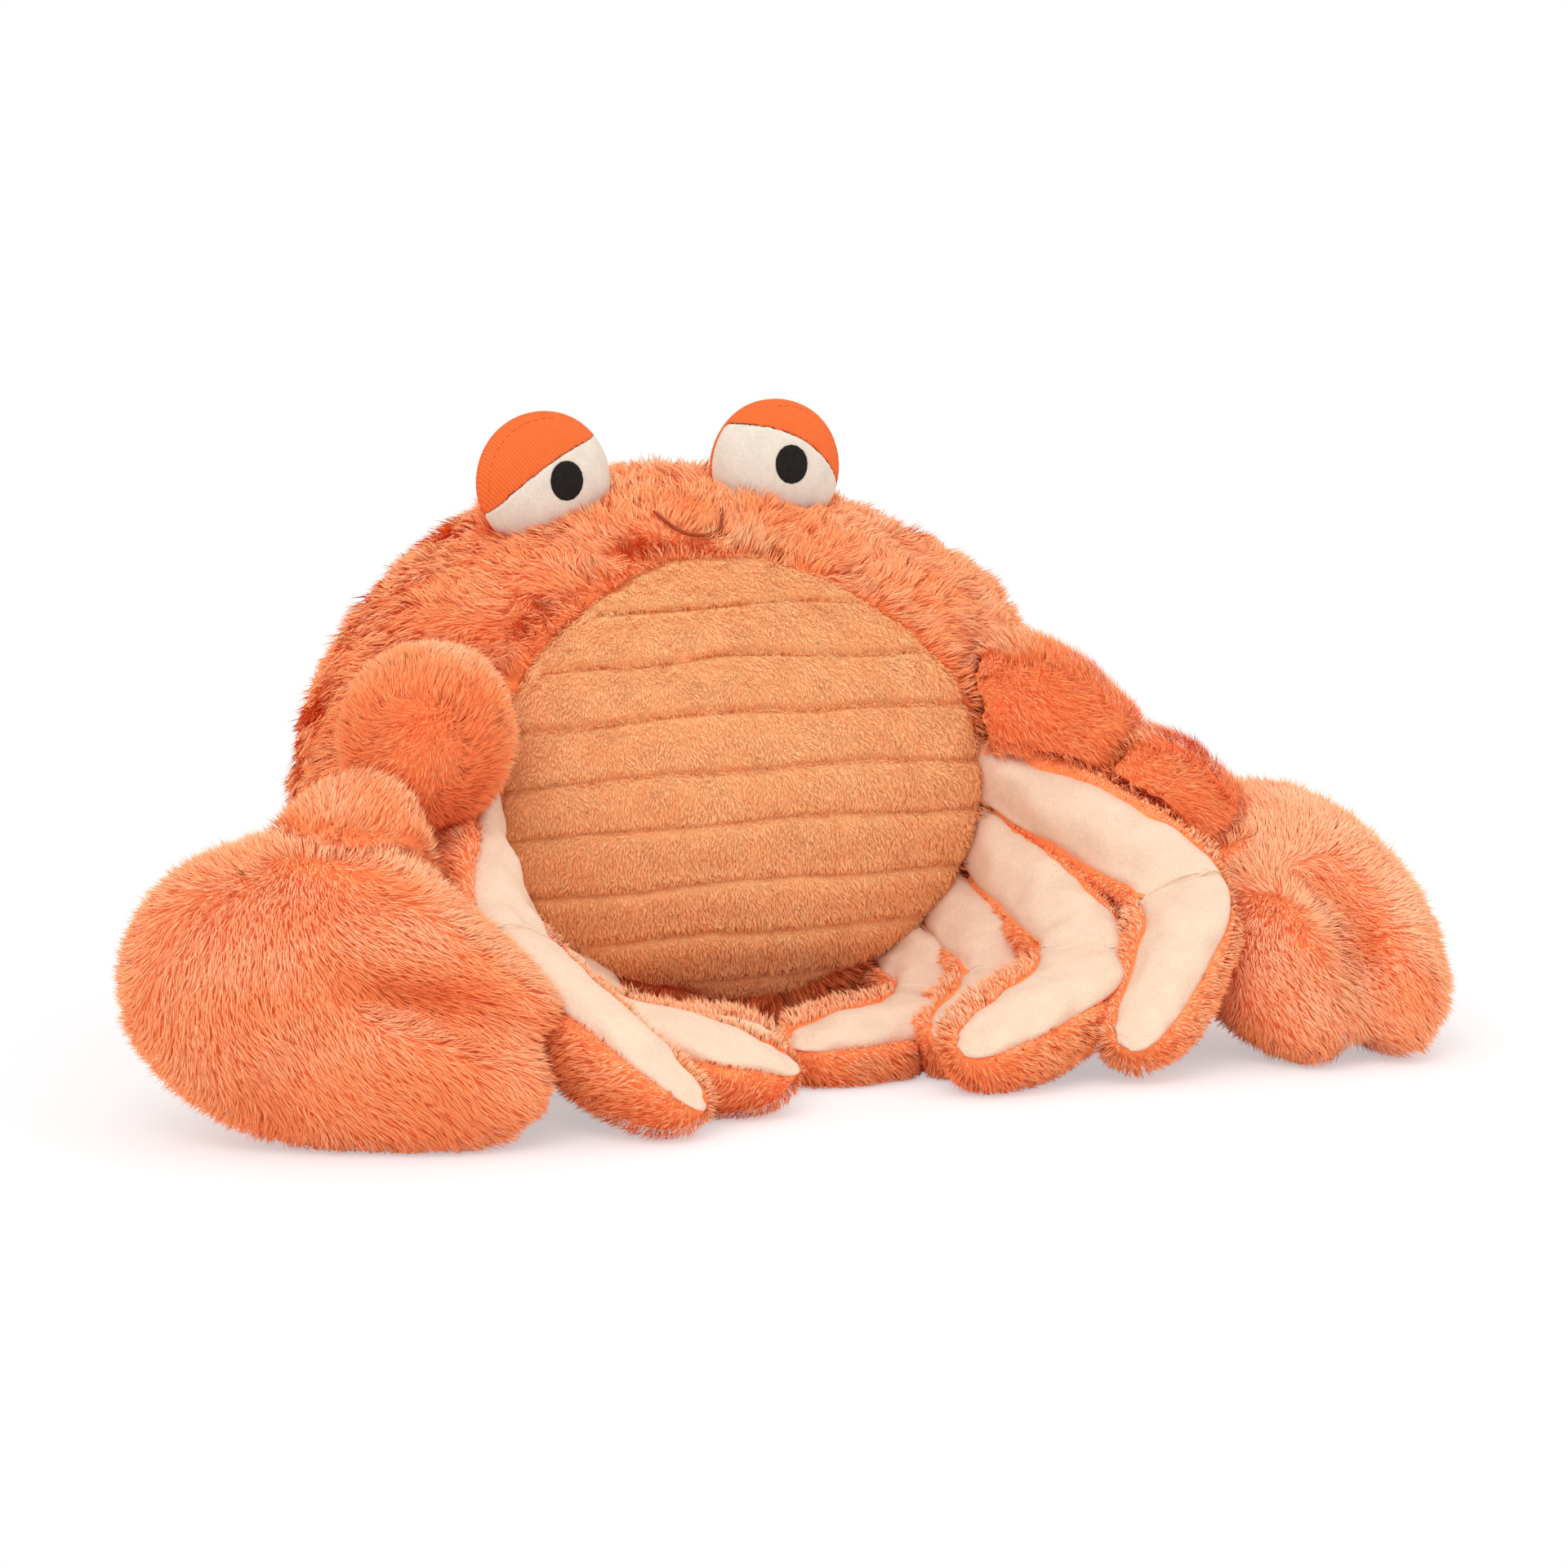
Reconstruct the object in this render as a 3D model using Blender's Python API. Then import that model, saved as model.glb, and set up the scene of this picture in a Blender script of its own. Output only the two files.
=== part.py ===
"""Plush crab sitting upright, belly to the front (-Y). Left and right are as seen from the front: left is -X.

Metres, +Z up. The origin is at the middle of the footprint, on the surface the toy sits on.
Each fabric panel with its stuffing is one closed solid. Soft neighbours press against each other, so
every solid is trimmed by a slightly grown copy of the ones it leans on.
"""
import math

import bmesh
import bpy
import numpy as np
from mathutils import Matrix, Vector

# Clearance between two fabric solids that touch, and how much of it a guide's corners move out
GAP = 0.0003
GUIDE_GROWTH = 1.3

# Body: a leaning pear lofted through level rings.
# Each ring: height, front, back, half width on -X, half width on +X
BODY_RINGS = (
    (0.000, -0.012, 0.078, 0.062, 0.062),
    (0.008, -0.036, 0.096, 0.090, 0.092),
    (0.030, -0.055, 0.112, 0.113, 0.116),
    (0.060, -0.064, 0.120, 0.125, 0.128),
    (0.090, -0.064, 0.121, 0.126, 0.132),
    (0.118, -0.053, 0.116, 0.117, 0.136),
    (0.145, -0.034, 0.106, 0.096, 0.124),
    (0.166, -0.008, 0.092, 0.067, 0.086),
    (0.180, 0.016, 0.072, 0.039, 0.050),
    (0.186, 0.042, 0.042, 0.000, 0.000),
)
BODY_SEGMENTS = 28
BODY_RINGS_BETWEEN = 2

# Belly panel: an oval of short pile set in the body's front, sewn across with level tucks
BELLY_HALF_WIDTH = 0.086
BELLY_BOTTOM = 0.014
BELLY_TOP = 0.155
BELLY_THICKNESS = 0.012
BELLY_BULGE = 0.004
TUCK_FIRST = 0.0275
TUCK_PITCH = 0.0172
TUCK_COUNT = 8
TUCK_DEPTH = 0.0028
TUCK_SHOULDER = 0.18
TUCK_SHOULDER_DEPTH = 0.12
TUCK_RIM_DEPTH = 0.3
TUCK_FADE = 3.0
TUCK_CLEAR_OF_RIM = 0.002
TUCK_TILT = math.radians(15.0)
BELLY_COLUMNS = 10
BELLY_BLUNT_ENDS = 0.985
POCKET_REACH = 0.020

# Eyes: puffed discs that stand on the head, half lid and half white, each with a round pupil
EYE_RADIUS = 0.0232
EYE_HALF_THICKNESS = 0.0130
EYE_SPREAD = 0.0420
EYE_DEPTH = 0.0270
EYE_STAND = {"left": 0.0052, "right": 0.0043}
EYE_SEGMENTS = 20
EYE_RINGS = 10
PUPIL_HALF_WIDTH = 0.0060
PUPIL_HALF_HEIGHT = 0.0066
PUPIL_SEGMENTS = 16
PUPIL_RINGS = 2
PUPIL_PROUD = 0.0006
PUPIL_SINK = 0.0012
PUPIL_SHIFT = {"left": (0.0034, 0.0009), "right": (0.0004, 0.0019)}
LID_SLOPE = {"left": math.radians(33.0), "right": math.radians(-30.0)}
LID_RISE = {"left": 0.0065, "right": 0.0106}
LID_ARC_RADIUS = {"left": 0.066, "right": 0.039}
LID_ARC_SEGMENTS = 64

# Mouth: a stitched smile laid in the fur between belly and eyes
MOUTH_HALF_WIDTH = 0.0125
MOUTH_SAG = 0.0130
MOUTH_DEPTH = 0.005
MOUTH_THREAD_RADIUS = 0.0013
MOUTH_POINTS = 11
MOUTH_THREAD_SIDES = 6

# Arms: two stuffed segments and a claw on each side, seated on one another.
# Seat: how far the upper arm's middle lies out from the body's side, its depth and its height
UPPER_ARM_RADIUS = 0.0275
UPPER_ARM_HALF_LENGTH = 0.042
UPPER_ARM_SEAT = {"left": (0.065, -0.050, 0.110), "right": (0.0085, -0.032, 0.103)}
UPPER_ARM_AXIS = {"left": (-0.45, -0.85, -0.20), "right": (0.55, -0.75, -0.35)}
FOREARM_RADIUS = 0.0245
FOREARM_HALF_LENGTH = 0.034
FOREARM_FROM_UPPER = {"left": (-0.041, -0.043, -0.033), "right": (0.030, -0.033, -0.026)}
FOREARM_AXIS = {"left": (-0.50, -0.55, -0.67), "right": (0.50, -0.60, -0.40)}
ARM_SEGMENTS = 16
ARM_RINGS = 10

# Claws: flattened mittens, the two pincers parted by a sewn crease and a notch at the tips
CLAW_HALF_LENGTH = 0.069
CLAW_HALF_WIDTH = 0.0455
CLAW_HALF_THICKNESS = 0.029
CLAW_CREASE_DEPTH = 0.45
CLAW_CREASE_WIDTH = 0.0090
CLAW_CREASE_START = -0.005
CLAW_CREASE_RAMP = 0.028
CLAW_NOTCH = 0.012
CLAW_FULLNESS = 0.045
CLAW_FROM_FOREARM = {"left": (-0.007, -0.019), "right": (0.036, -0.032)}
CLAW_HEIGHT = {"left": 0.0425, "right": 0.0387}
CLAW_LONG_AXIS = {"left": (0.84, -0.50, -0.20), "right": (-0.09, -0.87, -0.48)}
CLAW_WIDE_AXIS = {"left": (0.0, 0.34, 0.94), "right": (0.992, -0.124, 0.0)}
CLAW_SEGMENTS = 28
CLAW_RINGS = 14

# Legs: each a furry back and a smooth face sewn together at a rim, bent and pinched at the knee.
# They spring from the belly's rim, where each stands at an angle from the top of the oval.
# Widths and depths: shares of the full ones, station by station from root to tip.
# Each pose: angle on the rim, root to knee, knee to tip
LEG_BACK_HALF_WIDTH = 0.0175
LEG_BACK_DEPTH = 0.0235
LEG_FACE_HALF_WIDTH = 0.0142
LEG_FACE_CROWN = 0.0065
LEG_FACE_SINK = 0.0010
LEG_KNEE_EASE = 1.30
LEG_ROOT_SINK = 0.020
LEG_RIM_OFFSET = 0.004
LEG_TWIST = (1.0, 0.9, 0.6, 0.3, 0.1, 0.0)
LEG_UPPER_STATIONS = (0.0, 0.35, 0.72)
LEG_KNEE_STATIONS = 5
LEG_LOWER_STATIONS = (0.33, 0.64, 0.86, 0.965, 1.0)
LEG_WIDTHS = (0.78, 0.86, 0.95, 1.0, 1.0, 0.98, 1.0, 1.0, 1.0, 0.92, 0.68, 0.38, 0.12)
LEG_DEPTHS = (0.80, 0.94, 1.00, 0.92, 0.86, 0.80, 0.86, 0.92, 0.96, 0.88, 0.68, 0.42, 0.16)
LEG_BACK_SIDES = 6
LEG_FACE_SIDES = 6
LEG_POSES = {
    "left_leg_1": (-89.0, (-0.017, -0.072, -0.030), (0.041, -0.050, -0.044)),
    "left_leg_2": (-107.0, (-0.006, -0.072, -0.028), (0.066, -0.026, -0.019)),
    "left_leg_3": (-125.0, (-0.002, -0.054, -0.018), (0.056, -0.018, -0.007)),
    "left_leg_4": (-141.0, (-0.006, -0.034, -0.012), (0.050, -0.013, -0.002)),
    "right_leg_1": (89.0, (0.038, -0.071, -0.030), (-0.046, -0.035, -0.042)),
    "right_leg_2": (107.0, (0.006, -0.072, -0.028), (-0.064, -0.026, -0.019)),
    "right_leg_3": (125.0, (0.000, -0.050, -0.018), (-0.042, -0.020, -0.009)),
    "right_leg_4": (141.0, (-0.002, -0.040, -0.012), (-0.068, -0.018, -0.002)),
}

# Which limbs lie over the others on each side: the left claw over the legs, the right legs over the arm
LEGS_OVER_ARM = {"left": False, "right": True}

# Colours, linear
FUR = (0.95, 0.22, 0.09, 1.0)
BELLY_PILE = (0.95, 0.38, 0.17, 1.0)
SUEDE = (0.95, 0.73, 0.54, 1.0)
TWILL = (0.94, 0.16, 0.035, 1.0)
EYE_FELT = (0.87, 0.76, 0.66, 1.0)
PUPIL_CLOTH = (0.012, 0.010, 0.010, 1.0)
MOUTH_THREAD = (0.55, 0.07, 0.03, 1.0)


def clear_scene():
    for obj in list(bpy.data.objects):
        bpy.data.objects.remove(obj, do_unlink=True)


def fabric(name, colour, roughness):
    material = bpy.data.materials.new(name)
    material.use_nodes = True
    shader = material.node_tree.nodes["Principled BSDF"]
    shader.inputs["Base Color"].default_value = colour
    shader.inputs["Roughness"].default_value = roughness
    shader.inputs["Metallic"].default_value = 0.0
    return material


def new_object(name, bm, material):
    """Puts a closed shape in the scene, with outward flat faces that trim cleanly."""
    bmesh.ops.triangulate(bm, faces=bm.faces)
    bmesh.ops.recalc_face_normals(bm, faces=bm.faces)
    mesh = bpy.data.meshes.new(name)
    bm.to_mesh(mesh)
    bm.free()
    mesh.shade_smooth()
    mesh.set_sharp_from_angle(angle=math.radians(50.0))
    obj = bpy.data.objects.new(name, mesh)
    bpy.context.collection.objects.link(obj)
    if material is not None:
        mesh.materials.append(material)
    return obj


def bridge_rings(bm, rings):
    """Skins a list of closed rings of equal size and caps both ends."""
    for low, high in zip(rings, rings[1:]):
        for i in range(len(low)):
            j = (i + 1) % len(low)
            bm.faces.new((low[i], low[j], high[j], high[i]))
    bm.faces.new(rings[0])
    bm.faces.new(rings[-1])


def axes_matrix(centre, long_axis, wide_axis):
    """Frame whose X is long_axis and whose Y is the part of wide_axis square to it."""
    x_axis = Vector(long_axis).normalized()
    y_axis = Vector(wide_axis)
    y_axis = (y_axis - x_axis * y_axis.dot(x_axis)).normalized()
    z_axis = x_axis.cross(y_axis)
    turn = Matrix((x_axis, y_axis, z_axis)).transposed().to_4x4()
    return Matrix.Translation(centre) @ turn


def smooth_step(value):
    value = min(1.0, max(0.0, value))
    return value * value * (3.0 - 2.0 * value)


# Body profile

def body_profile():
    """Rings of the body, smoothly filled in between the given ones."""
    given = np.array(BODY_RINGS)
    last = given[-2] * (1.0, 1.0, 1.0, -1.0, -1.0)
    beyond = last[[0, 2, 1, 3, 4]]
    before = 2.0 * given[0] - given[1]
    before[0] = given[0][0] - given[1][0]
    points = np.vstack([before, given, beyond])
    rows = []
    for k in range(1, len(points) - 2):
        p0, p1, p2, p3 = points[k - 1:k + 3]
        for step in range(BODY_RINGS_BETWEEN):
            t = step / BODY_RINGS_BETWEEN
            rows.append(0.5 * (2.0 * p1 + (p2 - p0) * t + (2.0 * p0 - 5.0 * p1 + 4.0 * p2 - p3) * t ** 2
                               + (3.0 * p1 - p0 - 3.0 * p2 + p3) * t ** 3))
    rows.append(points[-2])
    return np.array(rows)


PROFILE = body_profile()


def ring_at(height):
    """Front, back and half widths of the body at a height."""
    return [np.interp(height, PROFILE[:, 0], PROFILE[:, k]) for k in (1, 2, 3, 4)]


def front_of_body(x, height):
    """Where the body's front surface lies at x and height."""
    front, back, half_left, half_right = ring_at(height)
    half_width = half_left if x < 0.0 else half_right
    reach = min(0.98, abs(x) / max(half_width, 0.001))
    middle = 0.5 * (front + back)
    return middle - 0.5 * (back - front) * math.sqrt(1.0 - reach ** 2)


def side_of_body(side, depth, height):
    """How far out the body's side lies at a depth and height."""
    front, back, half_left, half_right = ring_at(height)
    reach = (depth - 0.5 * (front + back)) / (0.5 * (back - front))
    half_width = half_left if side == "left" else half_right
    return half_width * math.sqrt(max(0.0, 1.0 - reach ** 2))


def top_of_body(x, depth):
    """Height of the body's upper surface over a point of the floor."""
    low, high = 0.5 * BODY_RINGS[-1][0], BODY_RINGS[-1][0]
    for _ in range(30):
        height = 0.5 * (low + high)
        if front_of_body(x, height) < depth:
            low = height
        else:
            high = height
    return low


def body_bmesh():
    bm = bmesh.new()
    rings = []
    for height, front, back, half_left, half_right in PROFILE[:-1]:
        ring = []
        for i in range(BODY_SEGMENTS):
            heading = 2.0 * math.pi * i / BODY_SEGMENTS
            half_width = half_right if math.cos(heading) > 0.0 else half_left
            x = half_width * math.cos(heading)
            y = 0.5 * (front + back) + 0.5 * (back - front) * math.sin(heading)
            ring.append(bm.verts.new((x, y, height)))
        rings.append(ring)
    for low, high in zip(rings, rings[1:]):
        for i in range(BODY_SEGMENTS):
            j = (i + 1) % BODY_SEGMENTS
            bm.faces.new((low[i], low[j], high[j], high[i]))
    bm.faces.new(rings[0])
    crown = bm.verts.new((0.0, PROFILE[-1][1], PROFILE[-1][0]))
    for i in range(BODY_SEGMENTS):
        bm.faces.new((rings[-1][i], rings[-1][(i + 1) % BODY_SEGMENTS], crown))
    return bm


# Belly panel

def belly_rows():
    """Heights of the panel's rows and how deep each lies in a tuck, from bottom to top."""
    rows = [(BELLY_BOTTOM, 0.0)]
    for k in range(TUCK_COUNT):
        tuck = TUCK_FIRST + k * TUCK_PITCH
        rows.append((tuck - TUCK_SHOULDER * TUCK_PITCH, TUCK_SHOULDER_DEPTH))
        rows.append((tuck, 1.0))
        rows.append((tuck + TUCK_SHOULDER * TUCK_PITCH, TUCK_SHOULDER_DEPTH))
    return [row for row in rows if row[0] < BELLY_TOP - TUCK_CLEAR_OF_RIM] + [(BELLY_TOP, 0.0)]


def belly_point(x, level, inward):
    """Point of the panel on a tilted level plane, moved inward from the body's surface."""
    height = level
    for _ in range(4):
        depth = front_of_body(x, height)
        rim_depth = front_of_body(BELLY_HALF_WIDTH, level)
        height = level + math.tan(TUCK_TILT) * (rim_depth - depth) * 0.5
    return Vector((x, depth + inward, height))


def belly_bmesh(grow, front_reach, back_depth, tucked):
    """The oval panel, or with grow the pocket that it sits in."""
    bm = bmesh.new()
    middle = 0.5 * (BELLY_TOP + BELLY_BOTTOM)
    half_height = 0.5 * (BELLY_TOP - BELLY_BOTTOM)
    rows = []
    for level, tuck in belly_rows():
        rise = max(-BELLY_BLUNT_ENDS, min(BELLY_BLUNT_ENDS, (level - middle) / half_height))
        half_width = (BELLY_HALF_WIDTH + grow) * math.sqrt(1.0 - rise ** 2)
        shifted = middle + (level - middle) * (1.0 + grow / half_height)
        fronts, backs = [], []
        for i in range(BELLY_COLUMNS + 1):
            across = math.sin(0.5 * math.pi * (2.0 * i / BELLY_COLUMNS - 1.0))
            x = half_width * across
            crown = max(0.0, 1.0 - rise ** 2 - (1.0 - rise ** 2) * across ** 2)
            proud = front_reach + BELLY_BULGE * math.sqrt(crown)
            if tucked:
                proud -= TUCK_DEPTH * tuck * min(1.0, TUCK_FADE * crown + TUCK_RIM_DEPTH)
            point = belly_point(x, shifted, 0.0)
            fronts.append(bm.verts.new(point + Vector((0.0, -proud, 0.0))))
            backs.append(bm.verts.new(point + Vector((0.0, back_depth, 0.0))))
        rows.append((fronts, backs))
    for (front_a, back_a), (front_b, back_b) in zip(rows, rows[1:]):
        for i in range(BELLY_COLUMNS):
            bm.faces.new((front_a[i], front_a[i + 1], front_b[i + 1], front_b[i]))
            bm.faces.new((back_a[i], back_b[i], back_b[i + 1], back_a[i + 1]))
        bm.faces.new((front_a[0], front_b[0], back_b[0], back_a[0]))
        bm.faces.new((front_a[-1], back_a[-1], back_b[-1], front_b[-1]))
    for fronts, backs in (rows[0], rows[-1]):
        for i in range(BELLY_COLUMNS):
            bm.faces.new((fronts[i], backs[i], backs[i + 1], fronts[i + 1]))
    return bm


def rim_point(angle, outward):
    """Point on the belly's rim at an angle from its top, moved outward in the oval's plane."""
    turn = math.radians(angle)
    x = (BELLY_HALF_WIDTH + outward) * math.sin(turn)
    half_height = 0.5 * (BELLY_TOP - BELLY_BOTTOM) + outward
    level = 0.5 * (BELLY_TOP + BELLY_BOTTOM) + half_height * math.cos(turn)
    return belly_point(x, level, 0.0)


# Round pieces

def ellipsoid_bmesh(frame, radii, segments, rings):
    bm = bmesh.new()
    bmesh.ops.create_uvsphere(bm, u_segments=segments, v_segments=rings, radius=1.0)
    bmesh.ops.transform(bm, matrix=frame @ Matrix.Diagonal((*radii, 1.0)), verts=bm.verts)
    return bm


def flatten_below(bm, height):
    """Presses a piece flat where it rests."""
    geometry = bm.verts[:] + bm.edges[:] + bm.faces[:]
    bmesh.ops.bisect_plane(bm, geom=geometry, plane_co=(0, 0, height), plane_no=(0, 0, -1), clear_outer=True)
    open_edges = [edge for edge in bm.edges if edge.is_boundary]
    if open_edges:
        bmesh.ops.contextual_create(bm, geom=open_edges)


def upper_arm_centre(side):
    out, depth, height = UPPER_ARM_SEAT[side]
    reach = side_of_body(side, depth, height) + out
    return Vector((-reach if side == "left" else reach, depth, height))


def forearm_centre(side):
    return upper_arm_centre(side) + Vector(FOREARM_FROM_UPPER[side])


def claw_centre(side):
    centre = forearm_centre(side) + Vector((*CLAW_FROM_FOREARM[side], 0.0))
    centre.z = CLAW_HEIGHT[side]
    return centre


def arm_bmesh(centre, axis, half_length, radius):
    frame = axes_matrix(centre, axis, (0.0, 0.0, 1.0)) @ Matrix.Rotation(math.pi / 2.0, 4, "Y")
    return ellipsoid_bmesh(frame, (radius, radius, half_length), ARM_SEGMENTS, ARM_RINGS)


def claw_bmesh(side):
    """A flat mitten: long axis X towards the tips, Y across it, crease along X between the pincers."""
    bm = bmesh.new()
    bmesh.ops.create_uvsphere(bm, u_segments=CLAW_SEGMENTS, v_segments=CLAW_RINGS, radius=1.0)
    for vert in bm.verts:
        full = 1.0 + CLAW_FULLNESS * (2.0 * vert.co.x * vert.co.y) ** 2
        x = vert.co.x * full * CLAW_HALF_LENGTH
        y = vert.co.y * full * CLAW_HALF_WIDTH
        z = vert.co.z * CLAW_HALF_THICKNESS
        along = smooth_step((x - CLAW_CREASE_START) / CLAW_CREASE_RAMP)
        groove = along * math.exp(-(y / CLAW_CREASE_WIDTH) ** 2)
        z *= 1.0 - CLAW_CREASE_DEPTH * groove
        x -= CLAW_NOTCH * groove * smooth_step(x / CLAW_HALF_LENGTH)
        vert.co = (x, y, z)
    frame = axes_matrix(claw_centre(side), CLAW_LONG_AXIS[side], CLAW_WIDE_AXIS[side])
    bmesh.ops.transform(bm, matrix=frame, verts=bm.verts)
    flatten_below(bm, 0.0)
    return bm


# Eyes

def eye_frame(side):
    """Z out of the eye's front, X across it and Y up."""
    sign = -1.0 if side == "left" else 1.0
    x = sign * EYE_SPREAD
    centre = (x, EYE_DEPTH, top_of_body(x, EYE_DEPTH) + EYE_STAND[side])
    return Matrix.Translation(centre) @ Matrix.Rotation(math.pi / 2.0, 4, "X")


def eye_bmesh(side, grow):
    radii = (EYE_RADIUS + grow, EYE_RADIUS + grow, EYE_HALF_THICKNESS + grow)
    return ellipsoid_bmesh(eye_frame(side), radii, EYE_SEGMENTS, EYE_RINGS)


def eye_half_block(side, front, grow):
    """Block over the front or the back half of an eye."""
    size = 2.0 * EYE_RADIUS
    sign = 1.0 if front else -1.0
    offset = sign * (0.5 * size + grow)
    bm = bmesh.new()
    bmesh.ops.create_cube(bm, size=1.0)
    frame = eye_frame(side) @ Matrix.Translation((0.0, 0.0, offset))
    bmesh.ops.transform(bm, matrix=frame @ Matrix.Diagonal((2.0 * size, 2.0 * size, size, 1.0)), verts=bm.verts)
    return bm


def lid_block(side, upper, grow):
    """Curved block above the lid's edge, or with upper False a block that leaves only what is below."""
    radius = LID_ARC_RADIUS[side] + (grow if upper else -grow)
    bm = bmesh.new()
    bmesh.ops.create_cone(bm, cap_ends=True, segments=LID_ARC_SEGMENTS, radius1=radius, radius2=radius, depth=6.0 * EYE_RADIUS)
    drop = Matrix.Translation((0.0, LID_RISE[side] - LID_ARC_RADIUS[side], 0.0))
    frame = eye_frame(side) @ Matrix.Rotation(LID_SLOPE[side], 4, "Z") @ drop
    bmesh.ops.transform(bm, matrix=frame, verts=bm.verts)
    return bm


def pupil_bmesh(side, grow):
    """A thin oval patch that follows the white's dome."""
    bm = bmesh.new()
    shift_x, shift_y = PUPIL_SHIFT[side]
    fronts, backs = [], []
    for ring_number in range(1, PUPIL_RINGS + 1):
        share = ring_number / PUPIL_RINGS
        front_ring, back_ring = [], []
        for i in range(PUPIL_SEGMENTS):
            angle = 2.0 * math.pi * i / PUPIL_SEGMENTS
            x = shift_x + share * (PUPIL_HALF_WIDTH + grow) * math.cos(angle)
            y = shift_y + share * (PUPIL_HALF_HEIGHT + grow) * math.sin(angle)
            dome = EYE_HALF_THICKNESS * math.sqrt(1.0 - (x * x + y * y) / EYE_RADIUS ** 2)
            front_ring.append(bm.verts.new((x, y, dome + PUPIL_PROUD + grow)))
            back_ring.append(bm.verts.new((x, y, dome - PUPIL_SINK - grow)))
        fronts.append(front_ring)
        backs.append(back_ring)
    for ring_set in (fronts, backs):
        bm.faces.new(ring_set[0])
        for inner, outer in zip(ring_set, ring_set[1:]):
            for i in range(PUPIL_SEGMENTS):
                j = (i + 1) % PUPIL_SEGMENTS
                bm.faces.new((inner[i], inner[j], outer[j], outer[i]))
    for i in range(PUPIL_SEGMENTS):
        j = (i + 1) % PUPIL_SEGMENTS
        bm.faces.new((fronts[-1][i], fronts[-1][j], backs[-1][j], backs[-1][i]))
    bmesh.ops.transform(bm, matrix=eye_frame(side), verts=bm.verts)
    return bm


# Mouth

def mouth_bmesh(grow):
    """A thread that lies half sunk in the body along a smile."""
    bm = bmesh.new()
    centres = []
    for k in range(MOUTH_POINTS):
        across = 2.0 * k / (MOUTH_POINTS - 1) - 1.0
        x = MOUTH_HALF_WIDTH * across
        depth = MOUTH_DEPTH - MOUTH_SAG * (1.0 - abs(across) ** 3)
        centres.append(Vector((x, depth, top_of_body(x, depth))))
    rings = []
    for k, centre in enumerate(centres):
        ahead = centres[min(k + 1, MOUTH_POINTS - 1)]
        behind = centres[max(k - 1, 0)]
        tangent = (ahead - behind).normalized()
        if k == 0:
            centre = centre - tangent * grow
        if k == MOUTH_POINTS - 1:
            centre = centre + tangent * grow
        side_axis = tangent.cross(Vector((0.0, 0.0, 1.0))).normalized()
        up_axis = side_axis.cross(tangent)
        ring = []
        for i in range(MOUTH_THREAD_SIDES):
            angle = 2.0 * math.pi * i / MOUTH_THREAD_SIDES
            offset = side_axis * math.cos(angle) + up_axis * math.sin(angle)
            ring.append(bm.verts.new(centre + offset * (MOUTH_THREAD_RADIUS + grow)))
        rings.append(ring)
    bridge_rings(bm, rings)
    return bm


# Legs

def leg_corners(pose):
    """Root, knee and tip of a leg."""
    angle, upper, lower = pose
    root = rim_point(angle, LEG_RIM_OFFSET)
    knee = root + Vector(upper)
    return root, knee, knee + Vector(lower)


def leg_path(pose):
    """Centre line from inside the body to the tip, rounded at the knee."""
    root, knee, tip = leg_corners(pose)
    upper = (knee - root).normalized()
    lower = (tip - knee).normalized()
    bend = LEG_KNEE_EASE * LEG_BACK_HALF_WIDTH
    start = root - upper * LEG_ROOT_SINK
    before = knee - upper * bend
    after = knee + lower * bend
    points = [start.lerp(before, share) for share in LEG_UPPER_STATIONS]
    for k in range(LEG_KNEE_STATIONS):
        t = k / (LEG_KNEE_STATIONS - 1)
        points.append(before.lerp(knee, t).lerp(knee.lerp(after, t), t))
    points += [after.lerp(tip, share) for share in LEG_LOWER_STATIONS]
    return points


def leg_across(pose):
    """Width directions along the path: along the belly's rim at the root, in the bend's plane past it."""
    root, knee, tip = leg_corners(pose)
    normal = (knee - root).cross(tip - knee).normalized()
    if normal.z < 0.0:
        normal = -normal
    path = leg_path(pose)
    rim = (rim_point(pose[0] + 2.0, LEG_RIM_OFFSET) - rim_point(pose[0] - 2.0, LEG_RIM_OFFSET)).normalized()
    frames = []
    for k in range(len(path)):
        tangent = (path[min(k + 1, len(path) - 1)] - path[max(k - 1, 0)]).normalized()
        across = normal.cross(tangent).normalized()
        if rim.dot(across) < 0.0:
            rim = -rim
        twist = LEG_TWIST[min(k, len(LEG_TWIST) - 1)]
        across = across.lerp(rim, twist)
        across = (across - tangent * across.dot(tangent)).normalized()
        frames.append((across, tangent.cross(across).normalized()))
    return frames


def leg_bmesh(pose, half_width, depth, lift, sides):
    """One half of a leg: a flat side in the seam plane and a round side, lofted along the path.

    depth is along the face's normal, so the furry back has a negative one.
    """
    bm = bmesh.new()
    rings = []
    stations = zip(leg_path(pose), leg_across(pose), LEG_WIDTHS, LEG_DEPTHS)
    for point, (across, normal), wide, thick in stations:
        ring = []
        for i in range(sides + 1):
            angle = math.pi * i / sides
            offset = across * half_width * wide * math.cos(angle)
            offset = offset + normal * (lift + depth * thick * math.sin(angle))
            ring.append(bm.verts.new(point + offset))
        rings.append(ring)
    bridge_rings(bm, rings)
    if min(vert.co.z for vert in bm.verts) < 0.0:
        flatten_below(bm, 0.0)
    return bm


# Fitting soft solids to one another

def corners(obj):
    points = np.array([tuple(vert.co) for vert in obj.data.vertices])
    return points.min(axis=0), points.max(axis=0)


def boxes_meet(first, second):
    low_a, high_a = corners(first)
    low_b, high_b = corners(second)
    return bool(np.all(low_a < high_b) and np.all(low_b < high_a))


def as_guide(obj):
    obj.hide_render = True
    obj.display_type = "WIRE"
    return obj


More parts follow.
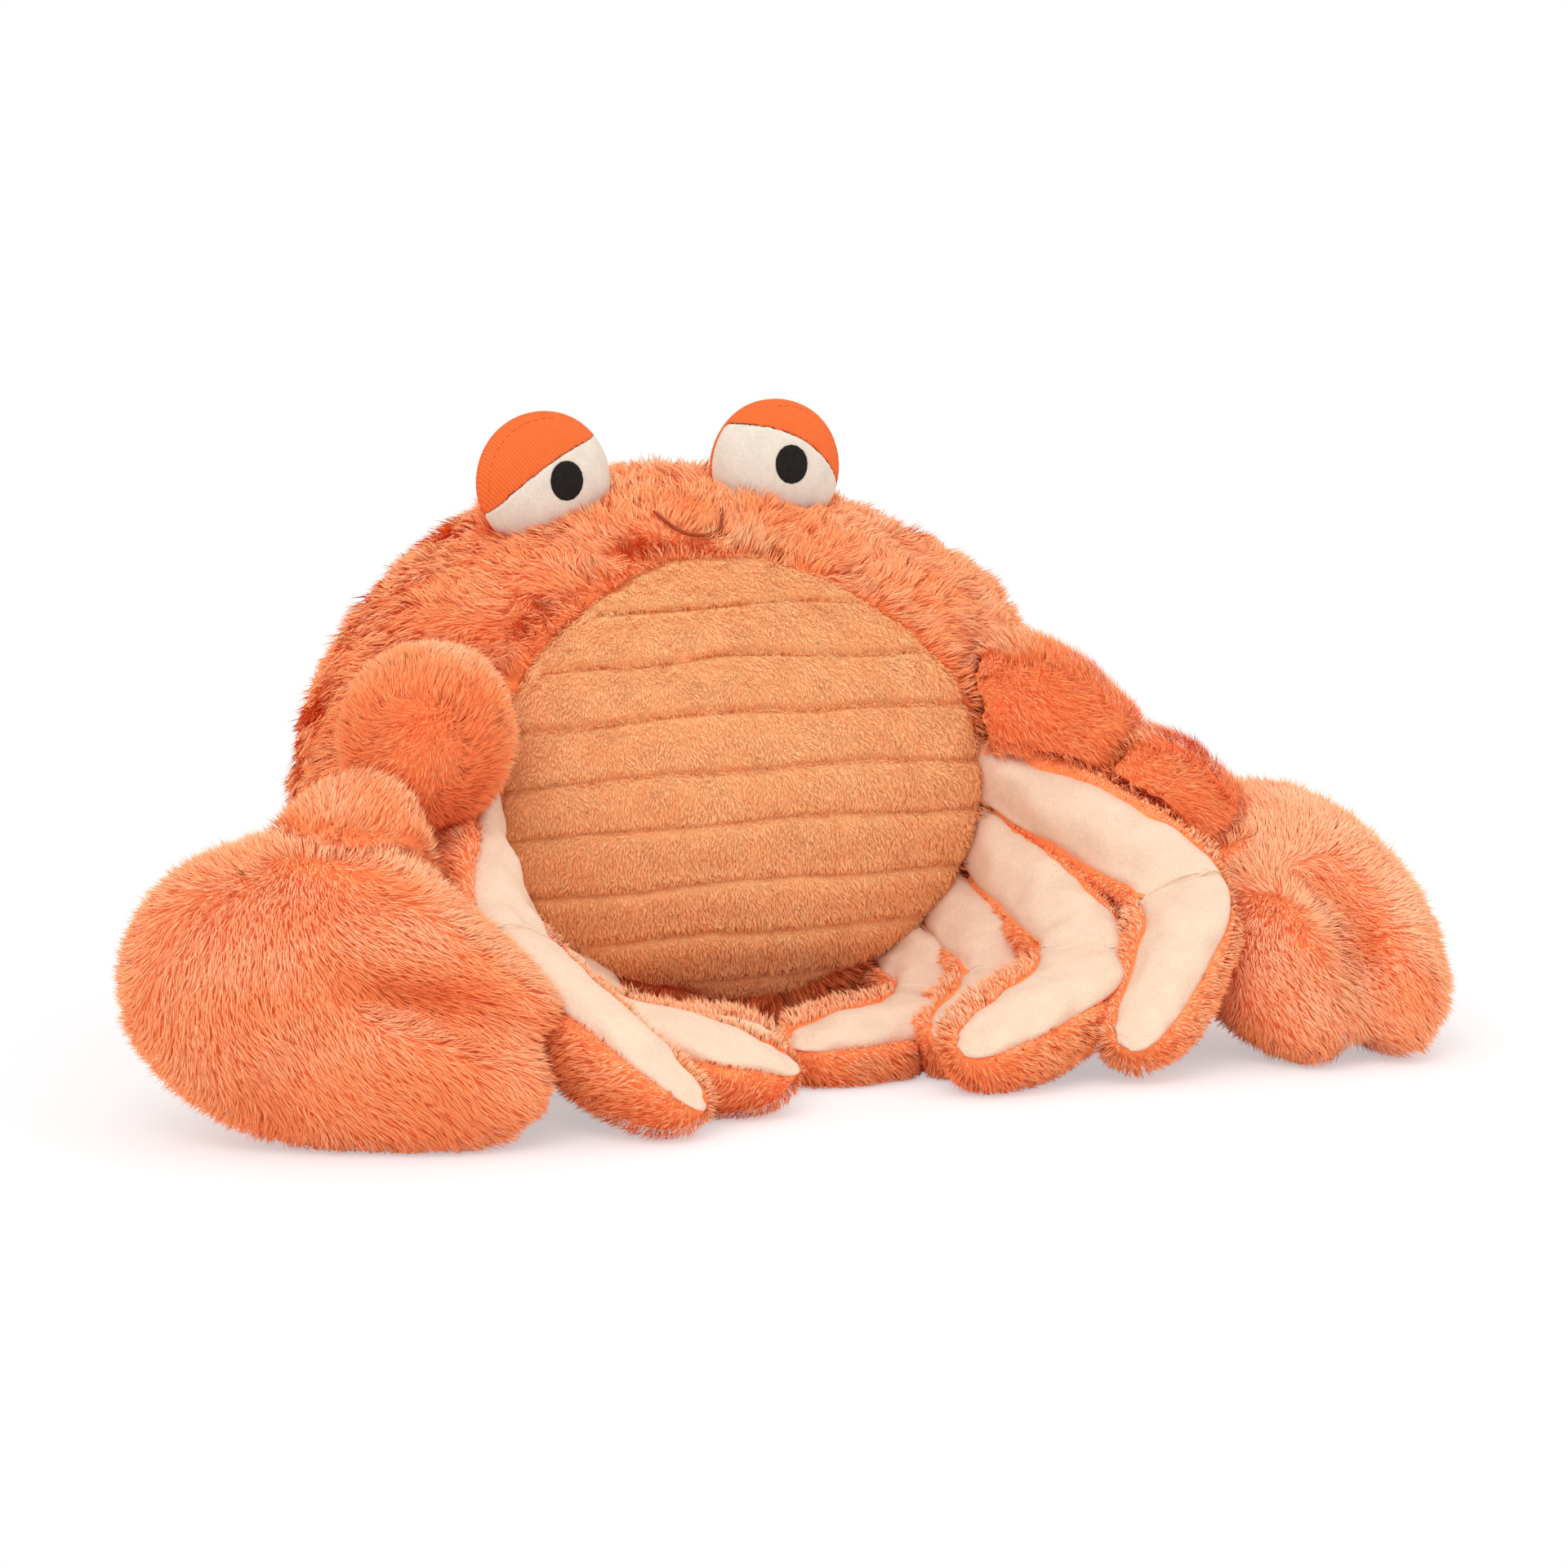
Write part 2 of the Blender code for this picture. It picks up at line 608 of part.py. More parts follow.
def grown_guide(name, bm):
    """A shape with every vertex moved out by the clearance."""
    bmesh.ops.recalc_face_normals(bm, faces=bm.faces)
    bm.normal_update()
    moves = [vert.normal * GAP * GUIDE_GROWTH for vert in bm.verts]
    for vert, move in zip(bm.verts, moves):
        vert.co += move
    return as_guide(new_object(name + "_guide", bm, None))


def trim(obj, guide, operation="DIFFERENCE"):
    cut = obj.modifiers.new("trim_" + guide.name, "BOOLEAN")
    cut.operation = operation
    cut.object = guide
    cut.solver = "EXACT"


def linked_faces(start):
    """Faces joined to a face through edges that two faces share."""
    stack = [start]
    group = {start}
    while stack:
        for edge in stack.pop().edges:
            if len(edge.link_faces) != 2:
                continue
            for other in edge.link_faces:
                if other not in group:
                    group.add(other)
                    stack.append(other)
    return group


def keep_largest(obj):
    """Applies the trims and drops the crumbs that they leave."""
    depsgraph = bpy.context.evaluated_depsgraph_get()
    mesh = bpy.data.meshes.new_from_object(obj.evaluated_get(depsgraph))
    bm = bmesh.new()
    bm.from_mesh(mesh)
    left = set(bm.faces)
    groups = []
    while left:
        group = linked_faces(next(iter(left)))
        left -= group
        groups.append(group)
    biggest = max(groups, key=lambda group: sum(face.calc_area() for face in group))
    bmesh.ops.delete(bm, geom=[face for face in bm.faces if face not in biggest], context="FACES")
    bmesh.ops.triangulate(bm, faces=bm.faces)
    bm.to_mesh(mesh)
    bm.free()
    obj.modifiers.clear()
    obj.data = mesh


def centre_on_footprint(pieces):
    """Moves every piece so that the origin is under the middle of the whole toy."""
    low = np.min([corners(piece)[0] for piece in pieces], axis=0)
    high = np.max([corners(piece)[1] for piece in pieces], axis=0)
    middle = 0.5 * (low + high)
    for piece in pieces:
        piece.data.transform(Matrix.Translation((-middle[0], -middle[1], 0.0)))


def build():
    clear_scene()
    fur = fabric("fur", FUR, 0.95)
    pile = fabric("belly_pile", BELLY_PILE, 0.95)
    suede = fabric("suede", SUEDE, 0.9)
    twill = fabric("twill", TWILL, 0.85)
    felt = fabric("eye_felt", EYE_FELT, 0.9)
    pupil_cloth = fabric("pupil_cloth", PUPIL_CLOTH, 0.8)
    thread = fabric("mouth_thread", MOUTH_THREAD, 0.9)

    body = new_object("body", body_bmesh(), fur)
    belly = new_object("belly_panel", belly_bmesh(0.0, 0.0, BELLY_THICKNESS, True), pile)
    pocket = belly_bmesh(GAP, POCKET_REACH, BELLY_THICKNESS + GAP, False)
    placed = [grown_guide("body", body_bmesh()),
              grown_guide("belly_panel", belly_bmesh(0.0, 0.0, BELLY_THICKNESS, False))]
    trim(body, as_guide(new_object("belly_pocket", pocket, None)))

    mouth = new_object("mouth_stitch", mouth_bmesh(0.0), thread)
    trim(body, as_guide(new_object("mouth_groove", mouth_bmesh(GAP), None)))

    eye_pieces = []
    for side in ("left", "right"):
        socket = as_guide(new_object(side + "_eye_socket", eye_bmesh(side, GAP), None))
        trim(body, socket)
        front = as_guide(new_object(side + "_eye_front_half", eye_half_block(side, True, 0.5 * GAP), None))
        back = as_guide(new_object(side + "_eye_back_half", eye_half_block(side, False, 0.5 * GAP), None))
        above = as_guide(new_object(side + "_lid_edge", lid_block(side, True, 0.5 * GAP), None))
        below = as_guide(new_object(side + "_white_edge", lid_block(side, False, 0.5 * GAP), None))
        patch = as_guide(new_object(side + "_pupil_seat", pupil_bmesh(side, GAP), None))
        cushion = new_object(side + "_eye_back", eye_bmesh(side, 0.0), twill)
        trim(cushion, back, "INTERSECT")
        lid = new_object(side + "_eyelid", eye_bmesh(side, 0.0), twill)
        trim(lid, front, "INTERSECT")
        trim(lid, above)
        white = new_object(side + "_eye_white", eye_bmesh(side, 0.0), felt)
        trim(white, front, "INTERSECT")
        trim(white, below, "INTERSECT")
        trim(white, patch)
        trim(lid, patch)
        pupil = new_object(side + "_pupil", pupil_bmesh(side, 0.0), pupil_cloth)
        eye_pieces += [cushion, lid, white, pupil]

    soft = []
    for side in ("left", "right"):
        arm_shapes = {
            "_claw": lambda: claw_bmesh(side),
            "_upper_arm": lambda: arm_bmesh(upper_arm_centre(side), UPPER_ARM_AXIS[side],
                                            UPPER_ARM_HALF_LENGTH, UPPER_ARM_RADIUS),
            "_forearm": lambda: arm_bmesh(forearm_centre(side), FOREARM_AXIS[side],
                                          FOREARM_HALF_LENGTH, FOREARM_RADIUS),
        }
        arm = [([new_object(side + name, shape(), fur)], [grown_guide(side + name, shape())])
               for name, shape in arm_shapes.items()]
        legs = []
        for name, pose in LEG_POSES.items():
            if name.startswith(side):
                face = leg_bmesh(pose, LEG_FACE_HALF_WIDTH, LEG_FACE_CROWN, -LEG_FACE_SINK, LEG_FACE_SIDES)
                back = leg_bmesh(pose, LEG_BACK_HALF_WIDTH, -LEG_BACK_DEPTH, 0.0, LEG_BACK_SIDES)
                seam = grown_guide(name + "_back", back.copy())
                guides = [seam, grown_guide(name + "_face", face.copy())]
                halves = [new_object(name + "_face", face, suede), new_object(name + "_back", back, fur)]
                trim(halves[0], seam)
                legs.append((halves, guides))
        soft += legs + arm if LEGS_OVER_ARM[side] else arm + legs
    limbs = []
    for halves, guides in soft:
        for piece in halves:
            for earlier in placed:
                if boxes_meet(piece, earlier):
                    trim(piece, earlier)
        limbs += halves
        placed += guides

    pieces = [body, belly, mouth] + eye_pieces + limbs
    for piece in pieces:
        if piece.modifiers:
            keep_largest(piece)
    centre_on_footprint(pieces)


build()
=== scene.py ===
"""Plush crab: long-pile body and limbs, ribbed belly, twill eyelids and smooth leg faces."""
import math

import bpy
import numpy as np
from bpy.props import FloatProperty, FloatVectorProperty, PointerProperty
from mathutils import Matrix, Vector
from mathutils.bvhtree import BVHTree
from mathutils.kdtree import KDTree


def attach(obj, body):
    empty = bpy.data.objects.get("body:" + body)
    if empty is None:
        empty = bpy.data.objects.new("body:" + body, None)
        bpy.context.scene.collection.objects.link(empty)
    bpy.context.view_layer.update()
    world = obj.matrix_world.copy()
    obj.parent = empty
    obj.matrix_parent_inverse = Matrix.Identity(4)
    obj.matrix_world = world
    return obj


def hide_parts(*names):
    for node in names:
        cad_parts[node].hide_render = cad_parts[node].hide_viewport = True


bl_info = {
    "name": "Plush Crab",
    "version": (1, 0, 0),
    "blender": (4, 5, 0),
    "location": "View3D > Sidebar > Plush Crab",
    "description": "Dresses the crab's solids in pile, suede, twill and felt",
    "category": "Object",
}

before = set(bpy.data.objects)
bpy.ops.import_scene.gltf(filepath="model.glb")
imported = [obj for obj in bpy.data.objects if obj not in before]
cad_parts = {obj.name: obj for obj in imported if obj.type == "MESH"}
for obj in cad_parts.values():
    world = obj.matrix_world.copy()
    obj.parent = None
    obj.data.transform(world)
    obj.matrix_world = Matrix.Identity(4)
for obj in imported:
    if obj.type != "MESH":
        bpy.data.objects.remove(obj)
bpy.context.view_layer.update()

SIDES = ("left", "right")
LEGS = tuple(f"{side}_leg_{number}" for side in SIDES for number in range(1, 5))
PILE_UV = "OFBake"

# Root, knee and tip of each leg's line, in the plane of the seam between its face and its back
LEG_LINES = {
    "left_leg_1": ((-0.0884, -0.0165, 0.0851), (-0.1054, -0.0885, 0.0551), (-0.0644, -0.1385, 0.0111)),
    "left_leg_2": ((-0.0845, -0.0188, 0.0625), (-0.0905, -0.0908, 0.0345), (-0.0245, -0.1168, 0.0155)),
    "left_leg_3": ((-0.0721, -0.0210, 0.0427), (-0.0741, -0.0750, 0.0247), (-0.0181, -0.0930, 0.0177)),
    "left_leg_4": ((-0.0550, -0.0229, 0.0291), (-0.0610, -0.0569, 0.0171), (-0.0110, -0.0699, 0.0151)),
    "right_leg_1": ((0.0916, -0.0191, 0.0855), (0.1296, -0.0901, 0.0555), (0.0836, -0.1251, 0.0135)),
    "right_leg_2": ((0.0877, -0.0203, 0.0627), (0.0937, -0.0923, 0.0347), (0.0297, -0.1183, 0.0157)),
    "right_leg_3": ((0.0753, -0.0221, 0.0429), (0.0753, -0.0721, 0.0249), (0.0333, -0.0921, 0.0159)),
    "right_leg_4": ((0.0582, -0.0236, 0.0292), (0.0562, -0.0636, 0.0172), (-0.0118, -0.0816, 0.0152)),
}
# The way that the belly's rim runs at each leg's root
LEG_RIMS = {
    "left_leg_1": (0.021, 0.081, 0.996), "left_leg_2": (-0.355, 0.139, 0.925),
    "left_leg_3": (-0.676, 0.035, 0.736), "left_leg_4": (-0.867, 0.014, 0.499),
    "right_leg_1": (0.021, -0.010, -1.0), "right_leg_2": (-0.355, -0.107, -0.929),
    "right_leg_3": (-0.675, -0.026, -0.737), "right_leg_4": (-0.866, 0.001, -0.500),
}
# Nodes that no pile grows through
SMOOTH_NODES = [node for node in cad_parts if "eye" in node or "face" in node or "belly" in node]

# Edge lengths that the skins are remeshed to
BODY_VOXEL = 0.0044
LIMB_VOXEL = 0.0032
LEG_VOXEL = 0.0026
BELLY_VOXEL = 0.0026
PUPIL_VOXEL = 0.0004
# How far the skins are drawn in under their pile, and how much less at the seams beside a neighbour
BODY_INSET = 0.0044
BODY_SEAM_EASE = 0.0030
LIMB_INSET = 0.0034
ARM_SEAM_EASE = 0.0026
CLAW_SEAM_EASE = 0.0022
SEAM_REACH = 0.012
# How near a neighbour counts as a contact, and how near it shortens a leg's pile
CONTACT_REACH = 0.0026
CROWDED_REACH = 0.0070

# How far a strand's lower and upper halves lean apart from its mean lean, and its least height
BLADE_BEND = 0.34
LOWEST_BLADE = 0.0004
# How far before a limb the point lies that its pile fans out from
ARM_NOSE = 0.045

# A leg's line: length hidden under the belly, length of the bend at the knee, and bow of its lower half
LEG_ROOT_SINK = 0.020
LEG_BEND = 0.02275
LEG_BOW = 0.0032
LEG_STATIONS = 44
# Shares of full width and crown at the 13 marks from root to tip; the knee is the sixth
KNEE_MARK = 5.0
LEG_WIDTHS = (0.72, 0.84, 0.96, 1.0, 1.04, 1.10, 1.06, 0.98, 0.90, 0.78, 0.60, 0.42, 0.14)
LEG_CROWNS = (0.80, 0.94, 1.05, 1.05, 1.0, 0.95, 1.0, 1.05, 1.05, 0.95, 0.72, 0.44, 0.16)
SUEDE_HALF_WIDTH = 0.0132
SUEDE_CROWN = 0.0072
SUEDE_SINK = 0.0010
SUEDE_SIDES = 12
# Depths of the sewn line across the first legs' knees and the others', of the pinch round it, and of
# the small and large puckers
KNEE_SEAM_DEPTHS = (0.0012, 0.0002)
KNEE_PINCH = 0.0010
PUCKERS = (0.00035, 0.0006)

# The way that each claw's pincers point, and the crease between them
CLAW_AXES = {"left": (0.84, -0.50, -0.20), "right": (-0.09, -0.87, -0.48)}
CLAW_CREASES = {
    "left": ((-0.1745, -0.1117, 0.0562), (-0.1578, -0.1144, 0.0470), (-0.1458, -0.1162, 0.0434),
             (-0.1301, -0.1268, 0.0325)),
    "right": ((0.1677, -0.0953, 0.0556), (0.1764, -0.1069, 0.0442), (0.1790, -0.1150, 0.0330)),
}
CLAW_CREASE_DEPTH = 0.0026
CLAW_CREASE_WIDTH = 0.0055
# The way to the left claw's upper corner, which its filling leaves slack, how deep the slack part
# reaches and the share of it that falls in
CLAW_CORNER = (0.62, -0.29, 0.73)
CLAW_CORNER_DEPTH = 0.015
CLAW_CORNER_SLACK = 0.65
# The way from the toy to whoever looks at its front
TO_VIEWER = (-0.42, -0.90, 0.14)
# Middle of each part of an arm, and the way its full side faces
ARM_FRAMES = {
    "left_upper_arm": ((-0.1102, -0.0298, 0.1100), (-0.45, -0.85, -0.20)),
    "left_forearm": ((-0.1512, -0.0728, 0.0770), (-0.50, -0.55, -0.67)),
    "right_upper_arm": ((0.1080, -0.0118, 0.1030), (0.55, -0.75, -0.35)),
    "right_forearm": ((0.1380, -0.0448, 0.0770), (0.50, -0.60, -0.40)),
}
EYE_CENTRES = {"left": (-0.0404, 0.0472, 0.1815), "right": (0.0436, 0.0472, 0.1837)}
EYE_RADIUS = 0.0232
EYE_HALF_THICKNESS = 0.0130
# The lid's topstitching: share of the eye's radius, stitch length, and first, last and step angle
STITCH_RING = 0.91
STITCH_LENGTH = 0.0019
STITCH_ANGLES = (88.0, 192.0, 7.4)
BELLY_CENTRE = (0.0016, -0.0300, 0.0880)
# Heights of the belly's tucks at its middle, and how much they drop towards its sides
TUCK_HEIGHTS = (0.1464, 0.1312, 0.1146, 0.0968, 0.0800, 0.0602, 0.0424, 0.0256)
TUCK_DROP = 0.85
TUCK_SLOPE = 0.010
TUCK_WAVER = 0.0005
TUCK_DEPTH = 0.0021
# Top of the upright seam below the belly's middle, and its place across
BELLY_SEAM_TOP = 0.060
BELLY_SEAM_X = 0.0014
# The smile's seam, from its left end to its right one
MOUTH_LINE = ((-0.0147, 0.0214, 0.1708), (-0.0120, 0.0155, 0.1674), (-0.0052, 0.0125, 0.1658),
              (0.0027, 0.0113, 0.1667), (0.0085, 0.0150, 0.1690), (0.0109, 0.0190, 0.1712),
              (0.0128, 0.0220, 0.1734))
MOUTH_DENT = 0.0040
MOUTH_WIDTH = 0.0032
MOUTH_BARE = 0.0019
# The swelling above the smile: its place above the seam's middle, and how far it swells
POUF_OFFSET = (0.0, 0.0060, 0.0050)
POUF_SWELL = 0.0040

CAMERA_YAW = math.radians(-25.0)
CAMERA_RISE = math.radians(8.0)
CAMERA_DISTANCE = 1.4
CAMERA_TARGET = (0.0286, 0.0076, 0.0820)
CAMERA_LENS = 97.22
# Name, place, size and power of each lamp, and what they are aimed at
LAMPS = (("key", (-1.1, -1.5, 1.9), 1.6, 21.0), ("fill", (1.8, -1.2, 1.0), 1.8, 4.5))
LAMP_TARGET = (0.0, 0.0, 0.08)


def srgb(red, green, blue):
    """Linear colour, with alpha, of display values from 0 to 255."""
    values = []
    for value in (red, green, blue):
        value /= 255.0
        values.append(value / 12.92 if value <= 0.04045 else ((value + 0.055) / 1.055) ** 2.4)
    return (*values, 1.0)


# Working on objects

def deselect():
    if bpy.context.object and bpy.context.object.mode != "OBJECT":
        bpy.ops.object.mode_set(mode="OBJECT")
    bpy.ops.object.select_all(action="DESELECT")


def activate(obj):
    deselect()
    obj.select_set(True)
    bpy.context.view_layer.objects.active = obj


def copy_node(name, node):
    """A copy of a CAD node's mesh under a new name, its doubles merged."""
    obj = bpy.data.objects.new(name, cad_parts[node].data.copy())
    bpy.context.scene.collection.objects.link(obj)
    obj.data.materials.clear()
    activate(obj)
    bpy.ops.object.mode_set(mode="EDIT")
    bpy.ops.mesh.select_all(action="SELECT")
    bpy.ops.mesh.remove_doubles(threshold=1e-5)
    bpy.ops.object.mode_set(mode="OBJECT")
    while obj.data.uv_layers:
        obj.data.uv_layers.remove(obj.data.uv_layers[0])
    return obj


def finish_with(obj, kind, **settings):
    """Adds a modifier and applies it."""
    activate(obj)
    modifier = obj.modifiers.new(kind.lower(), kind)
    for key, value in settings.items():
        setattr(modifier, key, value)
    bpy.ops.object.modifier_apply(modifier=modifier.name)


def voxel_copy(name, node, voxel, passes):
    """A node's shape as one even, softened mesh."""
    obj = copy_node(name, node)
    finish_with(obj, "REMESH", mode="VOXEL", voxel_size=voxel)
    finish_with(obj, "SMOOTH", factor=0.5, iterations=passes)
    return obj


def points_of(obj):
    co = np.empty(len(obj.data.vertices) * 3)
    obj.data.vertices.foreach_get("co", co)
    return co.reshape(-1, 3)


def normals_of(obj):
    normals = np.empty(len(obj.data.vertices) * 3)
    obj.data.vertices.foreach_get("normal", normals)
    return normals.reshape(-1, 3)


def triangles_of(obj):
    obj.data.calc_loop_triangles()
    corners = np.empty(len(obj.data.loop_triangles) * 3, dtype=np.int32)
    obj.data.loop_triangles.foreach_get("vertices", corners)
    return corners.reshape(-1, 3)


def set_points(obj, co):
    obj.data.vertices.foreach_set("co", np.ascontiguousarray(co, dtype=np.float32).ravel())
    obj.data.update()


def unit(vectors):
    return vectors / np.maximum(np.linalg.norm(vectors, axis=-1, keepdims=True), 1e-9)


def ramp(values, low, high):
    """Smooth step from 0 at low to 1 at high."""
    share = np.clip((values - low) / (high - low), 0.0, 1.0)
    return share * share * (3.0 - 2.0 * share)


def ripple(points, size, seed):
    """Soft noise from about -1 to 1, whose bumps are about size across."""
    draws = np.random.default_rng(seed)
    total = np.zeros(len(points))
    for _ in range(7):
        direction = unit(draws.normal(size=3)) * (math.pi / size) * draws.uniform(0.6, 1.5)
        total += np.sin(points @ direction + draws.uniform(0.0, 2.0 * math.pi))
    return total / 2.6


def plump(obj, pressure, cap, pinned=None, growth=0.0):
    """Puffs a stuffed piece out with a short cloth simulation and caps how far it moves."""
    start = points_of(obj)
    modifier = obj.modifiers.new("plump", "CLOTH")
    settings = modifier.settings
    last_frame = 20
    settings.quality = 4
    settings.mass = 0.2
    settings.tension_stiffness = 20.0
    settings.compression_stiffness = 10.0
    settings.bending_stiffness = 0.4
    settings.use_pressure = True
    settings.uniform_pressure_force = pressure
    settings.effector_weights.gravity = 0.0
    settings.shrink_min = -growth
    if pinned is not None:
        group = obj.vertex_groups.new(name="pinned")
        group.add([int(i) for i in np.nonzero(pinned)[0]], 1.0, "REPLACE")
        settings.vertex_group_mass = "pinned"
    modifier.point_cache.frame_start = 1
    modifier.point_cache.frame_end = last_frame
    for number in range(1, last_frame + 1):
        bpy.context.scene.frame_set(number)
    evaluated = obj.evaluated_get(bpy.context.evaluated_depsgraph_get())
    moved = points_of(evaluated) - start
    far = np.linalg.norm(moved, axis=1, keepdims=True)
    far[~np.isfinite(far)] = 0.0
    moved[~np.isfinite(moved)] = 0.0
    moved *= np.minimum(1.0, cap / np.maximum(far, 1e-9))
    obj.modifiers.remove(modifier)
    bpy.context.scene.frame_set(1)
    set_points(obj, start + moved)


# Neighbours

CAD_TREES = {}


def search_tree(obj):
    """Search tree and box of an object's mesh."""
    co = points_of(obj)
    tree = BVHTree.FromPolygons([tuple(p) for p in co], [tuple(t) for t in triangles_of(obj)])
    return tree, co.min(axis=0), co.max(axis=0)


def cad_tree(node):
    if node not in CAD_TREES:
        CAD_TREES[node] = search_tree(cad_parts[node])
    return CAD_TREES[node]


def crossed(starts, ends, barriers):
    """True for each straight step that runs through one of the barriers' surfaces."""
    found = np.zeros(len(starts), bool)
    steps = ends - starts
    lengths = np.linalg.norm(steps, axis=1)
    for tree, low, high in barriers:
        margin = lengths.max() if len(lengths) else 0.0
        near = ~found & np.all((starts > low - margin) & (starts < high + margin), axis=1)
        for i in np.nonzero(near)[0]:
            found[i] = tree.ray_cast(Vector(starts[i]), Vector(steps[i]), lengths[i])[0] is not None
    return found


def clearance(points, nodes, reach):
    """Distance from each point to the nearest of some CAD nodes: 0 inside one, reach at most."""
    closest = np.full(len(points), reach)
    for node in nodes:
        tree, low, high = cad_tree(node)
        near = np.all((points > low - reach) & (points < high + reach), axis=1)
        for i in np.nonzero(near)[0]:
            point = Vector(points[i])
            place, normal, _, away = tree.find_nearest(point)
            inside = (point - place).dot(normal) < -0.8 * away
            closest[i] = min(closest[i], 0.0 if inside else away)
    return closest


def nearness(points, own, reach):
    """1 for each point that touches another piece's CAD node, falling to 0 at reach from all of them."""
    others = [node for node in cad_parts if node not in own]
    return 1.0 - ramp(clearance(points, others, reach), 0.25 * reach, reach)


def eroded(skin, values, rounds):
    """A skin's values, each lowered to its lowest neighbour's, round after round."""
    ends = np.empty(len(skin.data.edges) * 2, dtype=np.int32)
    skin.data.edges.foreach_get("vertices", ends)
    first, second = ends.reshape(-1, 2).T
    for _ in range(rounds):
        lower = values.copy()
        np.minimum.at(lower, first, values[second])
        np.minimum.at(lower, second, values[first])
        values = lower
    return values


def beside_seam(skin, neighbour):
    """1 for a skin's points at the seam beside a CAD node, falling to 0 a little way off."""
    return 1.0 - ramp(clearance(points_of(skin), [neighbour], SEAM_REACH), 0.001, SEAM_REACH)


def draw_in(skin, own, inset):
    """Draws a skin in by the pile's depth. Returns how deep inside a contact its vertices lie."""
    co, normals = points_of(skin), normals_of(skin)
    touch = eroded(skin, nearness(co, own, CONTACT_REACH), 2)
    set_points(skin, co - normals * np.broadcast_to(inset, len(co))[:, None])
    return touch


# Pile

def scatter(skin, weight, touch, per_square_mm, draws):
    """Random points on a skin with their normals and contact; weight is a vertex's share of the density."""
    co = points_of(skin)
    normals = normals_of(skin)
    corners = triangles_of(skin)
    a, b, c = (co[corners[:, k]] for k in range(3))
    area = 0.5 * np.linalg.norm(np.cross(b - a, c - a), axis=1)
    wanted = area * 1e6 * per_square_mm * weight[corners].mean(axis=1)
    count = np.floor(wanted + draws.random(len(wanted))).astype(int)
    face = np.repeat(np.arange(len(corners)), count)
    first = np.sqrt(draws.random(len(face)))[:, None]
    second = draws.random(len(face))[:, None]
    shares = np.hstack([1.0 - first, first * (1.0 - second), first * second])
    points = np.einsum("ij,ijk->ik", shares, co[corners[face]])
    facing = unit(np.einsum("ij,ijk->ik", shares, normals[corners[face]]))
    return points, facing, np.sum(shares * touch[corners[face]], axis=1)


def turned(vectors, axes, angles):
    """Vectors square to their axes, turned about them."""
    return vectors * np.cos(angles)[:, None] + np.cross(axes, vectors) * np.sin(angles)[:, None]


def strands(points, facing, pressed, flow, length, style, draws):
    """Middle and tip of each strand, combed along flow, bent over and gathered into locks."""
    amount = len(points)
    along = flow - facing * np.sum(flow * facing, axis=1, keepdims=True)
    strength = np.clip(np.linalg.norm(along, axis=1) * 2.0, 0.0, 1.0)
    along = unit(along + 1e-4)
    along = unit(along - facing * np.sum(along * facing, axis=1, keepdims=True))
    swirl = style["swirl"] * ripple(points, style["swirl_size"], 11)
    swirl += (style["stray"] + 0.6 * pressed) * draws.normal(size=amount)
    along = turned(along, facing, swirl)
    lay = style["lay"] * (0.35 + 0.65 * strength) + style["tousle"] * draws.normal(size=amount)
    lay += 0.16 * ripple(points, style["swirl_size"] * 0.6, 12)
    proud = draws.random(amount) < style["proud"]
    lay = lay * np.where(proud, 0.5, 1.0) * (1.0 - 0.35 * pressed)
    length = length * draws.uniform(0.78, 1.12, size=amount)
    low, high = np.clip(lay - BLADE_BEND, 0.03, 1.3), np.clip(lay + BLADE_BEND, 0.05, 1.45)
    first = facing * np.cos(low)[:, None] + along * np.sin(low)[:, None]
    second = facing * np.cos(high)[:, None] + along * np.sin(high)[:, None]
    middles = points + first * (0.5 * length)[:, None]
    tips = middles + second * (0.5 * length)[:, None]
    if style["lock_pull"] and amount > 50:
        locks = max(8, int(amount / style["per_lock"]))
        chosen = draws.choice(amount, locks, replace=False)
        tree = KDTree(locks)
        for k, i in enumerate(chosen):
            tree.insert(points[i], k)
        tree.balance()
        owner = np.array([tree.find(point)[1] for point in points])
        pull = (style["lock_pull"] * draws.uniform(0.4, 1.3, size=locks))[owner][:, None]
        tips += (tips[chosen][owner] - tips) * np.clip(pull, 0.0, 0.85)
        middles += (middles[chosen][owner] - middles) * np.clip(pull, 0.0, 0.85) * 0.35
        lift = (draws.normal(size=locks) * style["lock_lift"])[owner][:, None]
        tips += facing * lift
        middles += facing * lift * 0.4
    return middles, tips


